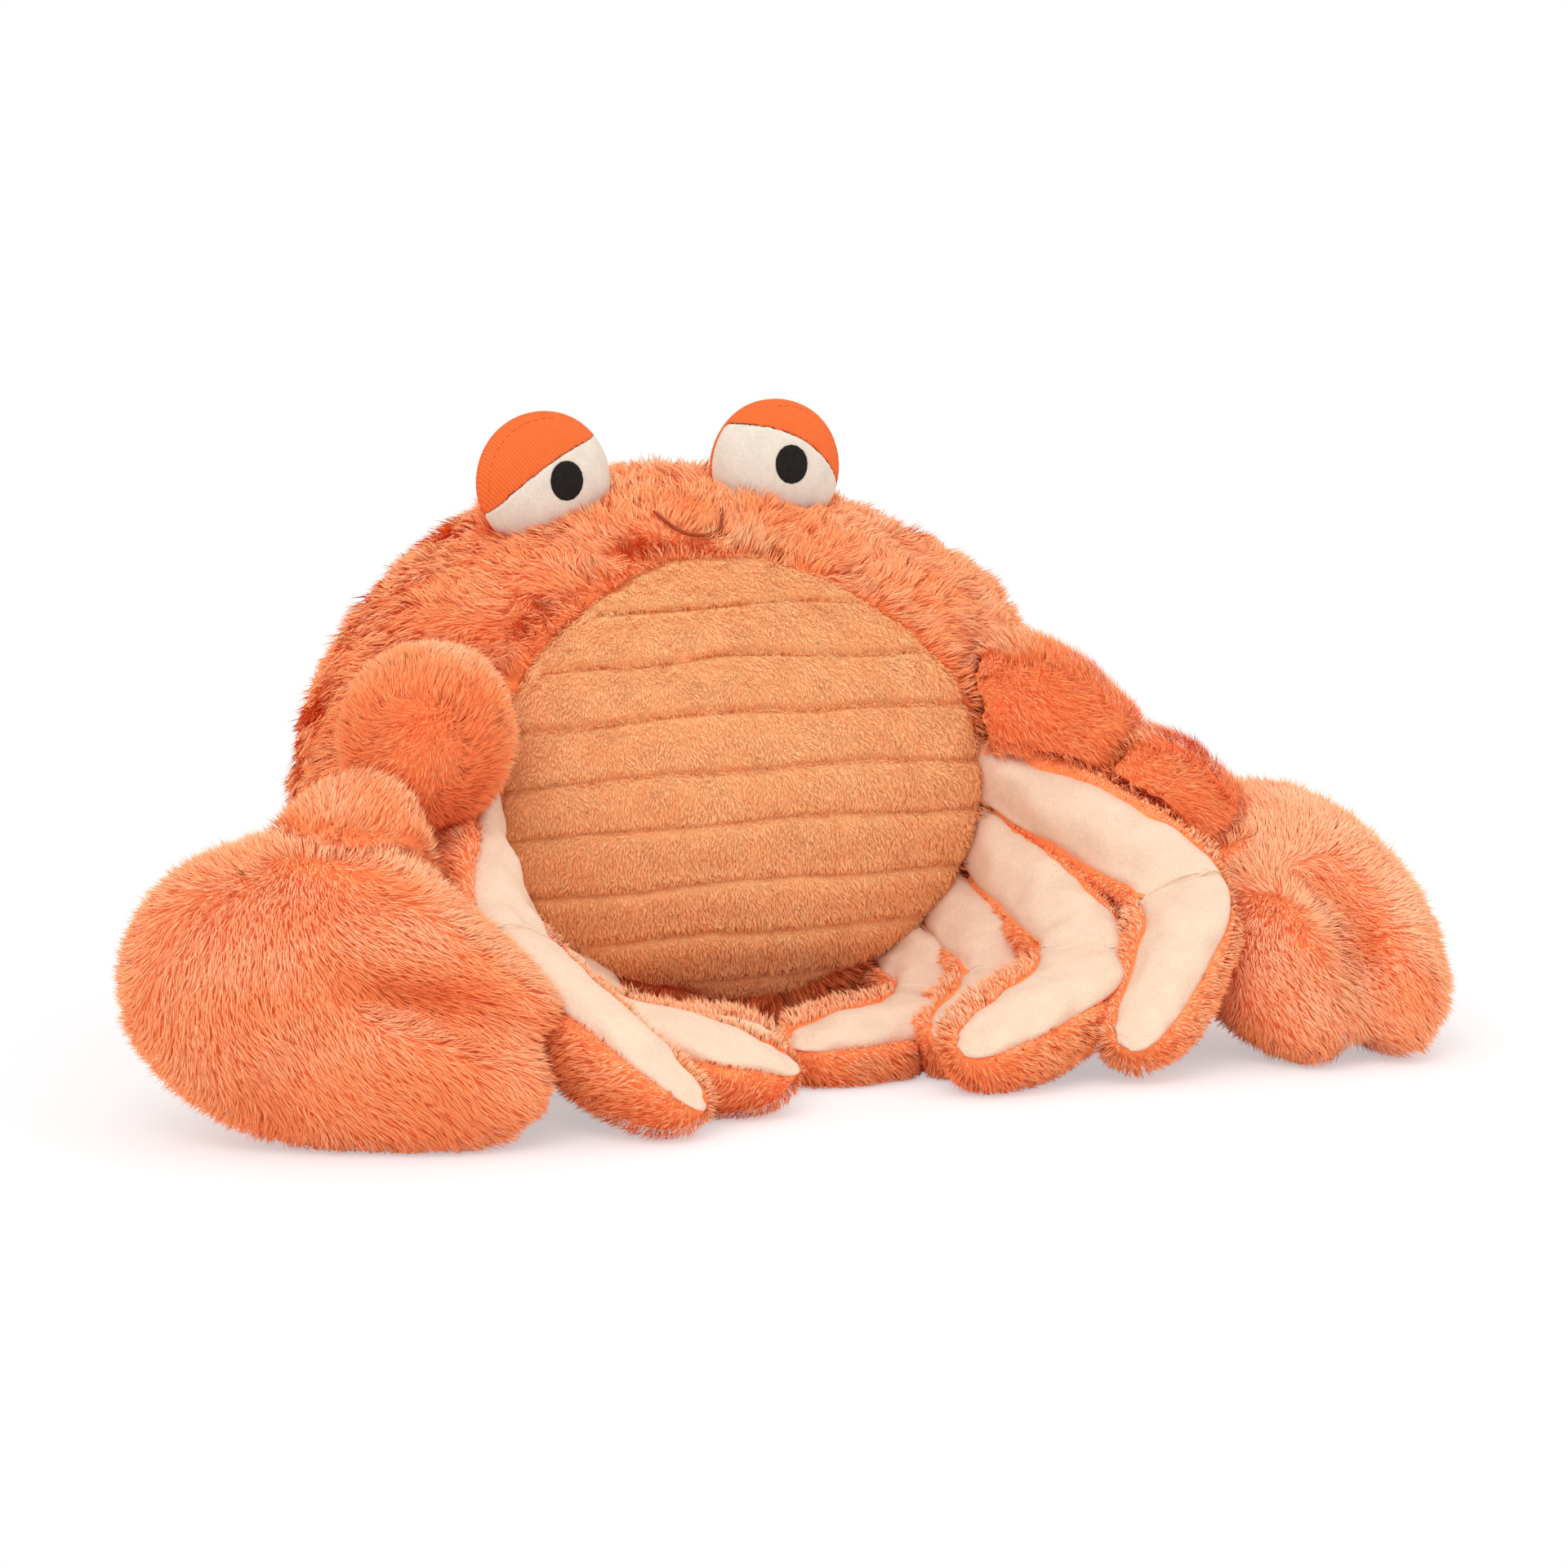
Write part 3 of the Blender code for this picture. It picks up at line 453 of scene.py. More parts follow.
def blades(name, points, middles, tips, facing, painted_light_and_tone, width, material, draws):
    """One object of narrow four-cornered blades, two triangles each, shaded like the pile's surface."""
    amount = len(points)
    reach = unit(tips - points)
    across = unit(np.cross(facing, reach))
    across = turned(across, reach, draws.uniform(-0.5, 0.5, size=amount))
    half = (0.5 * width * draws.uniform(0.75, 1.25, size=amount))[:, None]
    left, right = middles - across * half, middles + across * half
    geometric = unit(np.cross(right - points, left - points))
    flip = np.sum(geometric * facing, axis=1) < 0.0
    left[flip], right[flip] = right[flip], left[flip]
    geometric[flip] *= -1.0
    corners = np.stack([points, right, left, tips], axis=1)
    corners[..., 2] = np.maximum(corners[..., 2], LOWEST_BLADE)
    start = 4 * np.arange(amount)[:, None]
    faces = np.concatenate([start + (0, 1, 2), start + (2, 1, 3)], axis=1).reshape(-1, 3)
    shade = unit(facing * 0.85 + geometric * 0.15 + draws.normal(size=(amount, 3)) * 0.07)
    # A strand's value across the map carries painted light and shade as well as random tone; along the map
    # it runs from root to tip
    painted_light_and_tone = np.clip(painted_light_and_tone, 0.004, 0.996)
    uv = np.empty((amount, 4, 2))
    uv[:, 0] = np.stack([painted_light_and_tone, np.full(amount, 0.002)], axis=1)
    uv[:, 1] = np.stack([painted_light_and_tone + 0.003, np.full(amount, 0.5)], axis=1)
    uv[:, 2] = np.stack([painted_light_and_tone - 0.003, np.full(amount, 0.5)], axis=1)
    uv[:, 3] = np.stack([painted_light_and_tone, np.full(amount, 0.998)], axis=1)
    mesh = bpy.data.meshes.new(name)
    mesh.vertices.add(4 * amount)
    mesh.vertices.foreach_set("co", corners.astype(np.float32).ravel())
    mesh.loops.add(6 * amount)
    mesh.loops.foreach_set("vertex_index", faces.astype(np.int32).ravel())
    mesh.polygons.add(2 * amount)
    mesh.polygons.foreach_set("loop_start", np.arange(0, 6 * amount, 3, dtype=np.int32))
    mesh.update(calc_edges=True)
    layer = mesh.uv_layers.new(name=PILE_UV)
    layer.data.foreach_set("uv", uv.reshape(-1, 2)[faces.ravel()].astype(np.float32).ravel())
    mesh.materials.append(material)
    mesh.shade_smooth()
    mesh.normals_split_custom_set_from_vertices(np.repeat(shade, 4, axis=0))
    obj = bpy.data.objects.new(name, mesh)
    bpy.context.scene.collection.objects.link(obj)
    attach(obj, "root")
    return obj


def grow_pile(name, skin, touch, style, flow, length, painted_light_and_tone, material, seed,
              density=None, split=None, coarse=None, covered=None, own=(), barriers=()):
    """Covers a skin with pile, apart from where it is pressed against its neighbours or covered."""
    draws = np.random.default_rng(seed)
    normals = normals_of(skin)
    co = points_of(skin)
    weight = ramp(1.0 - touch, 0.0, 0.08) * (ramp(co[:, 2], -0.002, 0.002) * 0.8 + 0.2)
    weight = weight * (1.0 - 0.6 * ramp(-normals[:, 2], 0.75, 0.95))
    if density is not None:
        weight = weight * density(co, normals)
    if coarse is not None:
        weight = weight / coarse(co)
    points, facing, pressed = scatter(skin, weight, touch, style["density"], draws)
    middles, tips = strands(points, facing, pressed, flow(points, facing), length(points, facing), style,
                            draws)
    # Each strand's place on the colour ramps: painted light and shade from the given function, with random
    # tone added
    painted_light_and_tones = painted_light_and_tone(points, facing) + style["mottle"] * draws.normal(size=len(points))
    painted_light_and_tones += 0.08 * ripple(points, 0.012, seed)
    widths = np.full(len(points), style["width"])
    if coarse is not None:
        widths *= coarse(points)
    smooth = [each for each in SMOOTH_NODES if each not in own]
    shown = (clearance(middles, smooth, 0.0003) > 0.0) & (clearance(tips, smooth, 0.0003) > 0.0)
    if covered is not None:
        shown &= ~covered(points, facing)
    shown &= ~crossed(points, middles, barriers) & ~crossed(middles, tips, barriers)
    groups = {name: shown}
    if split is not None:
        groups = {part: chosen & shown for part, chosen in split(points).items()}
    for part, chosen in groups.items():
        obj = blades(part, points[chosen], middles[chosen], tips[chosen], facing[chosen], painted_light_and_tones[chosen],
                     widths[chosen], material, draws)


# Materials

def node(tree, kind, **settings):
    made = tree.nodes.new(kind)
    for key, value in settings.items():
        if hasattr(made, key):
            setattr(made, key, value)
        else:
            made.inputs[key.replace("_", " ").title()].default_value = value
    return made


def wire(tree, source, output, target, entry):
    tree.links.new(source.outputs[output], target.inputs[entry])


def colour_ramp(tree, stops):
    made = tree.nodes.new("ShaderNodeValToRGB")
    while len(made.color_ramp.elements) < len(stops):
        made.color_ramp.elements.new(0.5)
    for element, (place, colour) in zip(made.color_ramp.elements, stops):
        element.position = place
        element.color = colour
    return made


def cloth_material(name, roughness, sheen, sheen_tint):
    material = bpy.data.materials.new(name)
    material.use_nodes = True
    shader = material.node_tree.nodes["Principled BSDF"]
    shader.inputs["Roughness"].default_value = roughness
    shader.inputs["Specular IOR Level"].default_value = 0.2
    shader.inputs["Sheen Weight"].default_value = sheen
    shader.inputs["Sheen Roughness"].default_value = 0.5
    shader.inputs["Sheen Tint"].default_value = sheen_tint
    return material, material.node_tree, shader


def pile_material(name, roots, tips, sheen):
    """Pile whose colour runs from root to tip and changes from strand to strand."""
    material, tree, shader = cloth_material(name, 0.85, sheen, tips[-1][1])
    uv = node(tree, "ShaderNodeUVMap", uv_map=PILE_UV)
    apart = node(tree, "ShaderNodeSeparateXYZ")
    wire(tree, uv, "UV", apart, 0)
    low, high = colour_ramp(tree, roots), colour_ramp(tree, tips)
    # The colour runs from darker roots to paler tips: painted shade deep in the pile and painted light
    # through the tips
    along = colour_ramp(tree, ((0.05, (0, 0, 0, 1)), (0.75, (1, 1, 1, 1))))
    mix = node(tree, "ShaderNodeMix", data_type="RGBA")
    # Across the map, each strand's value picks its colours: darker ones carry painted shade, paler ones
    # painted light
    wire(tree, apart, "X", low, "Fac")
    wire(tree, apart, "X", high, "Fac")
    wire(tree, apart, "Y", along, "Fac")
    wire(tree, along, "Color", mix, "Factor")
    wire(tree, low, "Color", mix, "A")
    wire(tree, high, "Color", mix, "B")
    wire(tree, mix, "Result", shader, "Base Color")
    return material


def grained_material(name, dark, light, roughness, sheen, patch_size, grain_size, grain_depth):
    """Brushed cloth: cloudy colour in patches, over a fine raised grain."""
    material, tree, shader = cloth_material(name, roughness, sheen, light)
    place = node(tree, "ShaderNodeTexCoord")
    patches = node(tree, "ShaderNodeTexNoise", scale=1.0 / patch_size, detail=3.0, roughness=0.6)
    grain = node(tree, "ShaderNodeTexNoise", scale=1.0 / grain_size, detail=4.0, roughness=0.7)
    blend = node(tree, "ShaderNodeMix", data_type="FLOAT")
    blend.inputs["Factor"].default_value = 0.6
    colours = colour_ramp(tree, ((0.36, dark), (0.64, light)))
    bump = node(tree, "ShaderNodeBump", strength=0.6, distance=grain_depth)
    for noise in (patches, grain):
        wire(tree, place, "Object", noise, "Vector")
    wire(tree, patches, "Fac", blend, "A")
    wire(tree, grain, "Fac", blend, "B")
    wire(tree, blend, "Result", colours, "Fac")
    wire(tree, colours, "Color", shader, "Base Color")
    wire(tree, grain, "Fac", bump, "Height")
    wire(tree, bump, "Normal", shader, "Normal")
    return material


def woven_material(name, dark, light, roughness, pitch, slant, depth, sheen):
    """Twill: slanting ridges crossed by finer threads, on a cloth that faces the front."""
    material, tree, shader = cloth_material(name, roughness, sheen, light)
    place = node(tree, "ShaderNodeTexCoord")
    waves = []
    for turn, share in ((slant, 1.0), (slant + math.radians(90.0), 0.55)):
        mapping = node(tree, "ShaderNodeMapping")
        mapping.inputs["Rotation"].default_value = (0.0, turn, 0.0)
        wave = node(tree, "ShaderNodeTexWave", bands_direction="X", scale=math.pi / (10.0 * pitch * share),
                    distortion=1.2, detail=2.0)
        wire(tree, place, "Object", mapping, "Vector")
        wire(tree, mapping, "Vector", wave, "Vector")
        waves.append(wave)
    ridges = node(tree, "ShaderNodeMath", operation="MULTIPLY_ADD")
    ridges.inputs[1].default_value = 0.4
    wire(tree, waves[1], "Fac", ridges, 0)
    wire(tree, waves[0], "Fac", ridges, 2)
    fuzz = node(tree, "ShaderNodeTexNoise", scale=420.0, detail=3.0)
    wire(tree, place, "Object", fuzz, "Vector")
    height = node(tree, "ShaderNodeMath", operation="ADD")
    wire(tree, ridges, 0, height, 0)
    wire(tree, fuzz, "Fac", height, 1)
    colours = colour_ramp(tree, ((0.55, dark), (0.98, light)))
    shrink = node(tree, "ShaderNodeMath", operation="MULTIPLY")
    shrink.inputs[1].default_value = 0.5
    wire(tree, height, 0, shrink, 0)
    wire(tree, shrink, 0, colours, "Fac")
    bump = node(tree, "ShaderNodeBump", strength=0.7, distance=depth)
    wire(tree, height, 0, bump, "Height")
    wire(tree, bump, "Normal", shader, "Normal")
    wire(tree, colours, "Color", shader, "Base Color")
    return material


# What a user would change

def length_property(name, description, default, least, most):
    return FloatProperty(name=name, description=description, default=default, min=least, max=most,
                         unit="LENGTH")


def colour_property(name, description, red, green, blue):
    return FloatVectorProperty(name=name, description=description, subtype="COLOR", size=4,
                               default=srgb(red, green, blue), min=0.0, max=1.0)


class CrabPile(bpy.types.PropertyGroup):
    body_length: length_property("Body pile", "Length of the body's pile", 0.0088, 0.002, 0.02)
    arm_length: length_property("Arm pile", "Length of the arms' pile", 0.0066, 0.002, 0.02)
    claw_length: length_property("Claw pile", "Length of the claws' pile", 0.0078, 0.002, 0.02)
    leg_length: length_property("Leg pile", "Length of the pile behind the legs", 0.0056, 0.002, 0.02)
    belly_length: length_property("Belly pile", "Length of the belly's pile", 0.0024, 0.001, 0.01)
    density: FloatProperty(name="Pile density", description="Strands per square millimetre of long pile",
                           default=1.85, min=0.1, max=2.5)


class CrabColours(bpy.types.PropertyGroup):
    # The pile's root colour is darker and its tip colour paler: painted shade deep in the pile and painted
    # light through the tips
    pile_root: colour_property("Pile root", "Colour deep in the pile", 254, 124, 68)
    pile_middle: colour_property("Pile", "Main colour of the pile", 255, 162, 102)
    pile_tip: colour_property("Pile tip", "Colour of the pile's palest tips", 255, 214, 174)
    belly: colour_property("Belly", "Colour of the belly's pile", 255, 186, 126)
    suede: colour_property("Leg faces", "Colour of the smooth leg faces", 234, 205, 180)
    lid: colour_property("Eyelids", "Colour of the eyelid twill", 248, 112, 52)
    eye: colour_property("Eye whites", "Colour of the eye felt", 222, 211, 196)
    pupil: colour_property("Pupils", "Colour of the pupil cloth", 26, 22, 20)


# How each kind of pile lies: swirl and stray turn its strands, lay and tousle lean them, per_lock and
# the lock values gather them, mottle varies their colour, and proud is the share that stands up
MESSY = {"swirl": 0.80, "swirl_size": 0.016, "stray": 0.40, "lay": 0.98, "tousle": 0.24, "per_lock": 26,
         "mottle": 0.14, "lock_pull": 0.42, "lock_lift": 0.0008, "proud": 0.14, "width": 0.00036}
SMOOTH = {"swirl": 0.25, "swirl_size": 0.024, "stray": 0.22, "lay": 1.05, "tousle": 0.15, "per_lock": 16,
          "mottle": 0.10, "lock_pull": 0.22, "lock_lift": 0.0003, "proud": 0.07, "width": 0.00032}
ARM_PILE = dict(SMOOTH, lay=0.72, swirl=0.45, tousle=0.24, mottle=0.16)
LEG_PILE = {"swirl": 0.30, "swirl_size": 0.012, "stray": 0.35, "lay": 0.80, "tousle": 0.20, "per_lock": 12,
            "mottle": 0.12, "lock_pull": 0.25, "lock_lift": 0.0003, "proud": 0.10, "width": 0.00038}
SHORT = {"swirl": 0.30, "swirl_size": 0.010, "stray": 0.30, "lay": 1.00, "tousle": 0.18, "per_lock": 10,
         "mottle": 0.22, "lock_pull": 0.35, "lock_lift": 0.0001, "proud": 0.05, "width": 0.00040,
         "density": 1.85}


def shaded(colour, factor):
    return (*(min(1.0, value * factor) for value in colour[:3]), 1.0)


def mixed(first, second, share):
    return (*(a + (b - a) * share for a, b in zip(first[:3], second[:3])), 1.0)


def long_pile_material():
    material = bpy.data.materials.get("long_pile")
    if material is None:
        colours = bpy.context.scene.crab_colours
        root, middle, tip = tuple(colours.pile_root), tuple(colours.pile_middle), tuple(colours.pile_tip)
        # Strands low on these ramps take darker colours, painted shade; those high on them paler ones,
        # painted light
        roots = ((0.0, shaded(root, 0.70)), (0.30, root), (1.0, middle))
        tips = ((0.0, root), (0.40, middle), (1.0, tip))
        material = pile_material("long_pile", roots, tips, 0.10)
    return material


def backing_material():
    material = bpy.data.materials.get("backing_cloth")
    if material is None:
        colours = bpy.context.scene.crab_colours
        root, middle = tuple(colours.pile_root), tuple(colours.pile_middle)
        # The cloth under the pile takes the pile's darker root colour: painted shade seen between the
        # strands
        material = grained_material("backing_cloth", root, middle, 0.95, 0.1,
                                    0.012, 0.0012, 0.0004)
    return material


def padded_skin(obj, node_name, material):
    obj.data.materials.append(material)
    obj.data.shade_smooth()
    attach(obj, "root")
    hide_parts(node_name)


def bell(away, width):
    """1 at no distance, falling smoothly to near 0 at twice the width."""
    return np.exp(-(away / width) ** 2)


def distance_to_line(points, line):
    """Distance of points to a bent line, which way it runs where each is nearest, and that place."""
    line = np.array(line)
    best = np.full(len(points), np.inf)
    way = np.zeros_like(points)
    foot = np.zeros_like(points)
    for start, end in zip(line, line[1:]):
        span = end - start
        share = np.clip((points - start) @ span / (span @ span), 0.0, 1.0)[:, None]
        nearest = start + share * span
        away = np.linalg.norm(points - nearest, axis=1)
        closer = away < best
        best[closer] = away[closer]
        foot[closer] = nearest[closer]
        way[closer] = span / np.linalg.norm(span)
    return best, way, foot


class CRAB_OT_body(bpy.types.Operator):
    """Makes the body's skin, with the mouth's dent, and its long messy pile"""
    bl_idname = "crab.body"
    bl_label = "Body"

    def execute(self, context):
        pile = context.scene.crab_pile
        skin = voxel_copy("body_skin", "body", BODY_VOXEL, 3)
        inset = BODY_INSET - BODY_SEAM_EASE * beside_seam(skin, "belly_panel")
        touch = draw_in(skin, ("body", "mouth_stitch"), inset)
        plump(skin, 2.0, 0.0010)
        co, normals = points_of(skin), normals_of(skin)
        above = np.array(MOUTH_LINE).mean(axis=0) + POUF_OFFSET
        swell = POUF_SWELL * bell(np.linalg.norm(co - above, axis=1), 0.0090)
        dent = MOUTH_DENT * bell(distance_to_line(co, MOUTH_LINE)[0], MOUTH_WIDTH)
        set_points(skin, co + normals * (swell - dent)[:, None])
        padded_skin(skin, "body", backing_material())

        def flow(points, facing):
            out = (points - BELLY_CENTRE) * (1.0, 0.3, 1.0)
            back = ramp(points[:, 1], 0.03, 0.12)[:, None]
            combed = unit(out) * (1.0 - back) + np.array((0.0, 0.3, -1.0)) * back + (0.0, 0.0, -0.25)
            combed = combed + unit(points - (0.0, 0.02, 0.0)) * (1.0, 0.0, 0.0) * 0.3
            rim = 1.0 - ramp(clearance(points, ["belly_panel"], 0.014), 0.002, 0.014)[:, None]
            combed = unit(combed) * (1.0 - 0.6 * rim) + unit(BELLY_CENTRE - points) * rim * 0.25
            gap, _, nearest = distance_to_line(points, MOUTH_LINE)
            parted = 2.0 * bell(gap, 0.006)[:, None]
            return combed + unit(points - nearest) * parted

        def length(points, facing):
            gap, _, _ = distance_to_line(points, MOUTH_LINE)
            inner = bell(np.linalg.norm(points - above, axis=1), 0.0075)
            return pile.body_length * (0.38 + 0.62 * ramp(gap, 0.001, 0.009)) * (1.0 - 0.45 * inner)

        def painted_light_and_tone(points, facing):
            gap, _, _ = distance_to_line(points, MOUTH_LINE)
            # Paler where the pile faces up or to the sides: painted light from above and at the rims
            pale = 0.34 + 0.12 * np.abs(facing[:, 0]) + 0.14 * facing[:, 2]
            # Darker low down: painted shade under the body
            low = 0.22 * ramp(-points[:, 2], -0.06, 0.0)
            # Darker towards the left side
            left = 0.16 * ramp(-points[:, 0], 0.02, 0.11)
            # Darker along the smile and round the swelling above it: painted shade of the mouth's crease
            pouf = 0.50 * bell(np.linalg.norm(points - above, axis=1), 0.0085)
            return pale - low - left - 0.45 * bell(gap, 0.0034) - pouf

        def halves(points):
            front = points[:, 1] < 0.045
            return {"body_pile_front": front, "body_pile_back": ~front}

        def covered(points, facing):
            return distance_to_line(points, MOUTH_LINE)[0] < MOUTH_BARE

        def coarse(points):
            return 1.0 + 1.10 * ramp(points[:, 1], 0.02, 0.07)

        grow_pile("body_pile", skin, touch, dict(MESSY, density=pile.density), flow, length, painted_light_and_tone,
                  long_pile_material(), 21, split=halves, coarse=coarse, covered=covered)
        return {"FINISHED"}


def divide_front(obj):
    """Cuts the faces that look to the front in four."""
    activate(obj)
    normals = np.empty(len(obj.data.polygons) * 3)
    obj.data.polygons.foreach_get("normal", normals)
    obj.data.polygons.foreach_set("select", normals.reshape(-1, 3)[:, 1] < -0.2)
    bpy.ops.object.mode_set(mode="EDIT")
    bpy.ops.mesh.select_mode(type="FACE")
    bpy.ops.mesh.subdivide(number_cuts=1, smoothness=0.0)
    bpy.ops.object.mode_set(mode="OBJECT")


def above_tucks(points):
    """How far points lie above each of the belly's tucks, one column a tuck."""
    x = points[:, :1]
    waver = TUCK_WAVER * np.sin(x * 80.0 + np.arange(len(TUCK_HEIGHTS)) * 1.7)
    return points[:, 2:] - (np.array(TUCK_HEIGHTS) - TUCK_DROP * x ** 2 + TUCK_SLOPE * x + waver)


class CRAB_OT_belly(bpy.types.Operator):
    """Makes the ribbed belly pad and its short pile"""
    bl_idname = "crab.belly"
    bl_label = "Belly"

    def execute(self, context):
        colours = context.scene.crab_colours
        belly, root, pale = tuple(colours.belly), tuple(colours.pile_root), tuple(colours.pile_tip)
        skin = voxel_copy("belly_pad", "belly_panel", BELLY_VOXEL, 9)
        plump(skin, 3.0, 0.0012)
        divide_front(skin)
        co, normals = points_of(skin), normals_of(skin)
        steepness = np.sqrt(np.maximum(1.0 - normals[:, 2] ** 2, 0.2))[:, None]
        apart = above_tucks(co) / steepness
        depth = (TUCK_DEPTH * bell(apart, 0.0013) + 0.0007 * bell(apart, 0.0045)).sum(axis=1)
        seam = (co[:, 0] - BELLY_SEAM_X) + 0.0008 * np.sin(co[:, 2] * 130.0)
        lower = ramp(-co[:, 2], -BELLY_SEAM_TOP - 0.006, -BELLY_SEAM_TOP)
        depth += 0.0010 * bell(seam, 0.0012) * lower
        front = ramp(-normals[:, 1], 0.15, 0.45)
        rib = 0.0006 * ripple(co, 0.020, 5) * front
        set_points(skin, co + normals * (rib - (depth + 0.0008) * front)[:, None])
        # The pad's cloth is darker than its pile, painted shade deep in the nap, with cloudy patches of
        # random tone
        backing = grained_material("belly_backing", shaded(belly, 0.68), shaded(belly, 0.92), 0.95, 0.1,
                                   0.010, 0.0010, 0.0004)
        padded_skin(skin, "belly_panel", backing)
        # Darker, redder roots and paler tips: painted shade deep in the nap and painted light at its tips
        roots = ((0.0, mixed(shaded(belly, 0.75), root, 0.45)), (0.4, shaded(belly, 0.94)), (1.0, belly))
        tips = ((0.0, mixed(shaded(belly, 0.9), root, 0.35)), (0.5, belly), (1.0, mixed(belly, pale, 0.4)))
        short = pile_material("short_pile", roots, tips, 0.10)

        def to_tuck(points):
            return np.abs(above_tucks(points)).min(axis=1)

        def flow(points, facing):
            return np.tile((0.10, 0.0, -1.0), (len(points), 1))

        def length(points, facing):
            full = context.scene.crab_pile.belly_length
            return full * (0.55 + 0.45 * ramp(to_tuck(points), 0.0004, 0.0030))

        def painted_light_and_tone(points, facing):
            # Darker in and beside the tucks: painted shade in the creases; the ripple adds random tone
            sunk = 1.0 - ramp(to_tuck(points), 0.0003, 0.0018)
            return 0.50 - 0.38 * sunk + 0.10 * ripple(points, 0.004, 8)

        def density(points, facing):
            return ramp(-facing[:, 1], -0.25, 0.05)

        touch = nearness(points_of(skin), ("belly_panel", "body"), 0.0015)
        grow_pile("belly_short_pile", skin, touch, SHORT, flow, length, painted_light_and_tone, short, 31,
                  density=density, own=("belly_panel",))
        return {"FINISHED"}


class CRAB_OT_mouth(bpy.types.Operator):
    """Makes the mouth's sewn line"""
    bl_idname = "crab.mouth"
    bl_label = "Mouth"

    def execute(self, context):
        obj = copy_node("mouth_seam", "mouth_stitch")
        finish_with(obj, "SUBSURF", levels=2, render_levels=2)
        finish_with(obj, "DISPLACE", strength=-0.0005, mid_level=0.0)
        set_points(obj, points_of(obj) + (0.0, 0.0001, -0.0010))
        root = tuple(context.scene.crab_colours.pile_root)
        thread = grained_material("mouth_thread", shaded(root, 0.22), shaded(root, 0.42), 0.9, 0.1,
                                  0.004, 0.0006, 0.0002)
        obj.data.materials.append(thread)
        obj.data.shade_smooth()
        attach(obj, "root")
        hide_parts("mouth_stitch")
        return {"FINISHED"}


def lid_stitches(side, material):
    """A row of short stitches that follows the lid's outer seam."""
    centre = Vector(EYE_CENTRES[side])
    sign = -1.0 if side == "left" else 1.0
    first, last, step = STITCH_ANGLES
    made = []
    for k in range(int((last - first) / step)):
        turn = math.radians(first + k * step)
        out, up = -sign * math.cos(turn), math.sin(turn)
        reach = STITCH_RING * EYE_RADIUS
        proud = EYE_HALF_THICKNESS * math.sqrt(1.0 - STITCH_RING ** 2) * 1.02
        place = centre + Vector((out * reach, -proud, up * reach))
        along = Vector((-up, 0.0, out)).normalized()
        facing = Vector((out * reach / EYE_RADIUS ** 2, -proud / EYE_HALF_THICKNESS ** 2,
                         up * reach / EYE_RADIUS ** 2))
        facing = (facing - along * facing.dot(along)).normalized()
        deselect()
        bpy.ops.mesh.primitive_uv_sphere_add(segments=8, ring_count=6, radius=1.0)
        stitch = bpy.context.object
        turn_matrix = Matrix((along, facing, along.cross(facing))).transposed().to_4x4()
        size = Matrix.Diagonal((STITCH_LENGTH / 2.0, 0.00022, 0.00028, 1.0))
        stitch.data.transform(Matrix.Translation(place) @ turn_matrix @ size)
        made.append(stitch)
    deselect()
    for stitch in made:
        stitch.select_set(True)
    bpy.context.view_layer.objects.active = made[0]
    bpy.ops.object.join()
    row = bpy.context.object
    row.name = f"{side}_lid_topstitch"
    row.data.materials.append(material)
    row.data.shade_smooth()
    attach(row, "root")


class CRAB_OT_eyes(bpy.types.Operator):
    """Makes the puffed eyes: twill back and lid, felt white, woven pupil and the lid's topstitching"""
    bl_idname = "crab.eyes"
    bl_label = "Eyes"

    def execute(self, context):
        colours = context.scene.crab_colours
        lid, eye, black = tuple(colours.lid), tuple(colours.eye), tuple(colours.pupil)
        twill = woven_material("lid_twill", shaded(lid, 0.80), shaded(lid, 1.14), 0.85, 0.00105,
                               math.radians(38.0), 0.00018, 0.15)
        felt = grained_material("eye_felt", shaded(eye, 0.88), shaded(eye, 1.10), 0.9, 0.25,
                                0.006, 0.0007, 0.0002)
        weave = woven_material("pupil_weave", shaded(black, 0.5), shaded(black, 2.6), 0.8, 0.0007,
                               0.0, 0.00012, 0.1)
        thread = grained_material("lid_thread", shaded(lid, 0.55), shaded(lid, 0.85), 0.85, 0.1,
                                  0.003, 0.0004, 0.0001)
        cloths = (("eye_back", twill, "twill", 0.0013), ("eyelid", twill, "twill", 0.0009),
                  ("eye_white", felt, "eye_felt", 0.0010))
        for side in SIDES:
            centre = np.array(EYE_CENTRES[side])
            radii = np.array((EYE_RADIUS, EYE_HALF_THICKNESS, EYE_RADIUS))
            for part, material, slot, voxel in cloths:
                obj = voxel_copy(f"{side}_{part}_cloth", f"{side}_{part}", voxel, 3)
                local = (points_of(obj) - centre) / radii
                size = np.linalg.norm(local, axis=1, keepdims=True)
                outer = ramp(size, 0.86, 0.93)
                wave = 1.0 + 0.006 * ripple(points_of(obj), 0.012, 3)[:, None]
                local = local * (1.0 + outer * (wave / np.maximum(size, 1e-6) - 1.0))
                set_points(obj, local * radii + centre)
                finish_with(obj, "SMOOTH", factor=0.4, iterations=2)
                finish_with(obj, "DISPLACE", strength=0.00014, mid_level=0.0)
                padded_skin(obj, f"{side}_{part}", material)
            lid_stitches(side, thread)
            pupil = copy_node(f"{side}_pupil_patch", f"{side}_pupil")
            finish_with(pupil, "REMESH", mode="VOXEL", voxel_size=PUPIL_VOXEL)
            finish_with(pupil, "SMOOTH", factor=0.5, iterations=5)
            pupil.data.materials.append(weave)
            pupil.data.shade_smooth()
            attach(pupil, "root")
            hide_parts(f"{side}_pupil")
        return {"FINISHED"}


def combed_round(points, facing, nose, way):
    """Comb direction: the given way on a limb's full side, fanning out from its nose at its rims."""
    rim = ramp(-facing @ unit(np.array(TO_VIEWER)), -0.90, -0.45)[:, None]
    return unit(way) * (1.0 - rim) * 0.6 + unit(points - nose) * rim


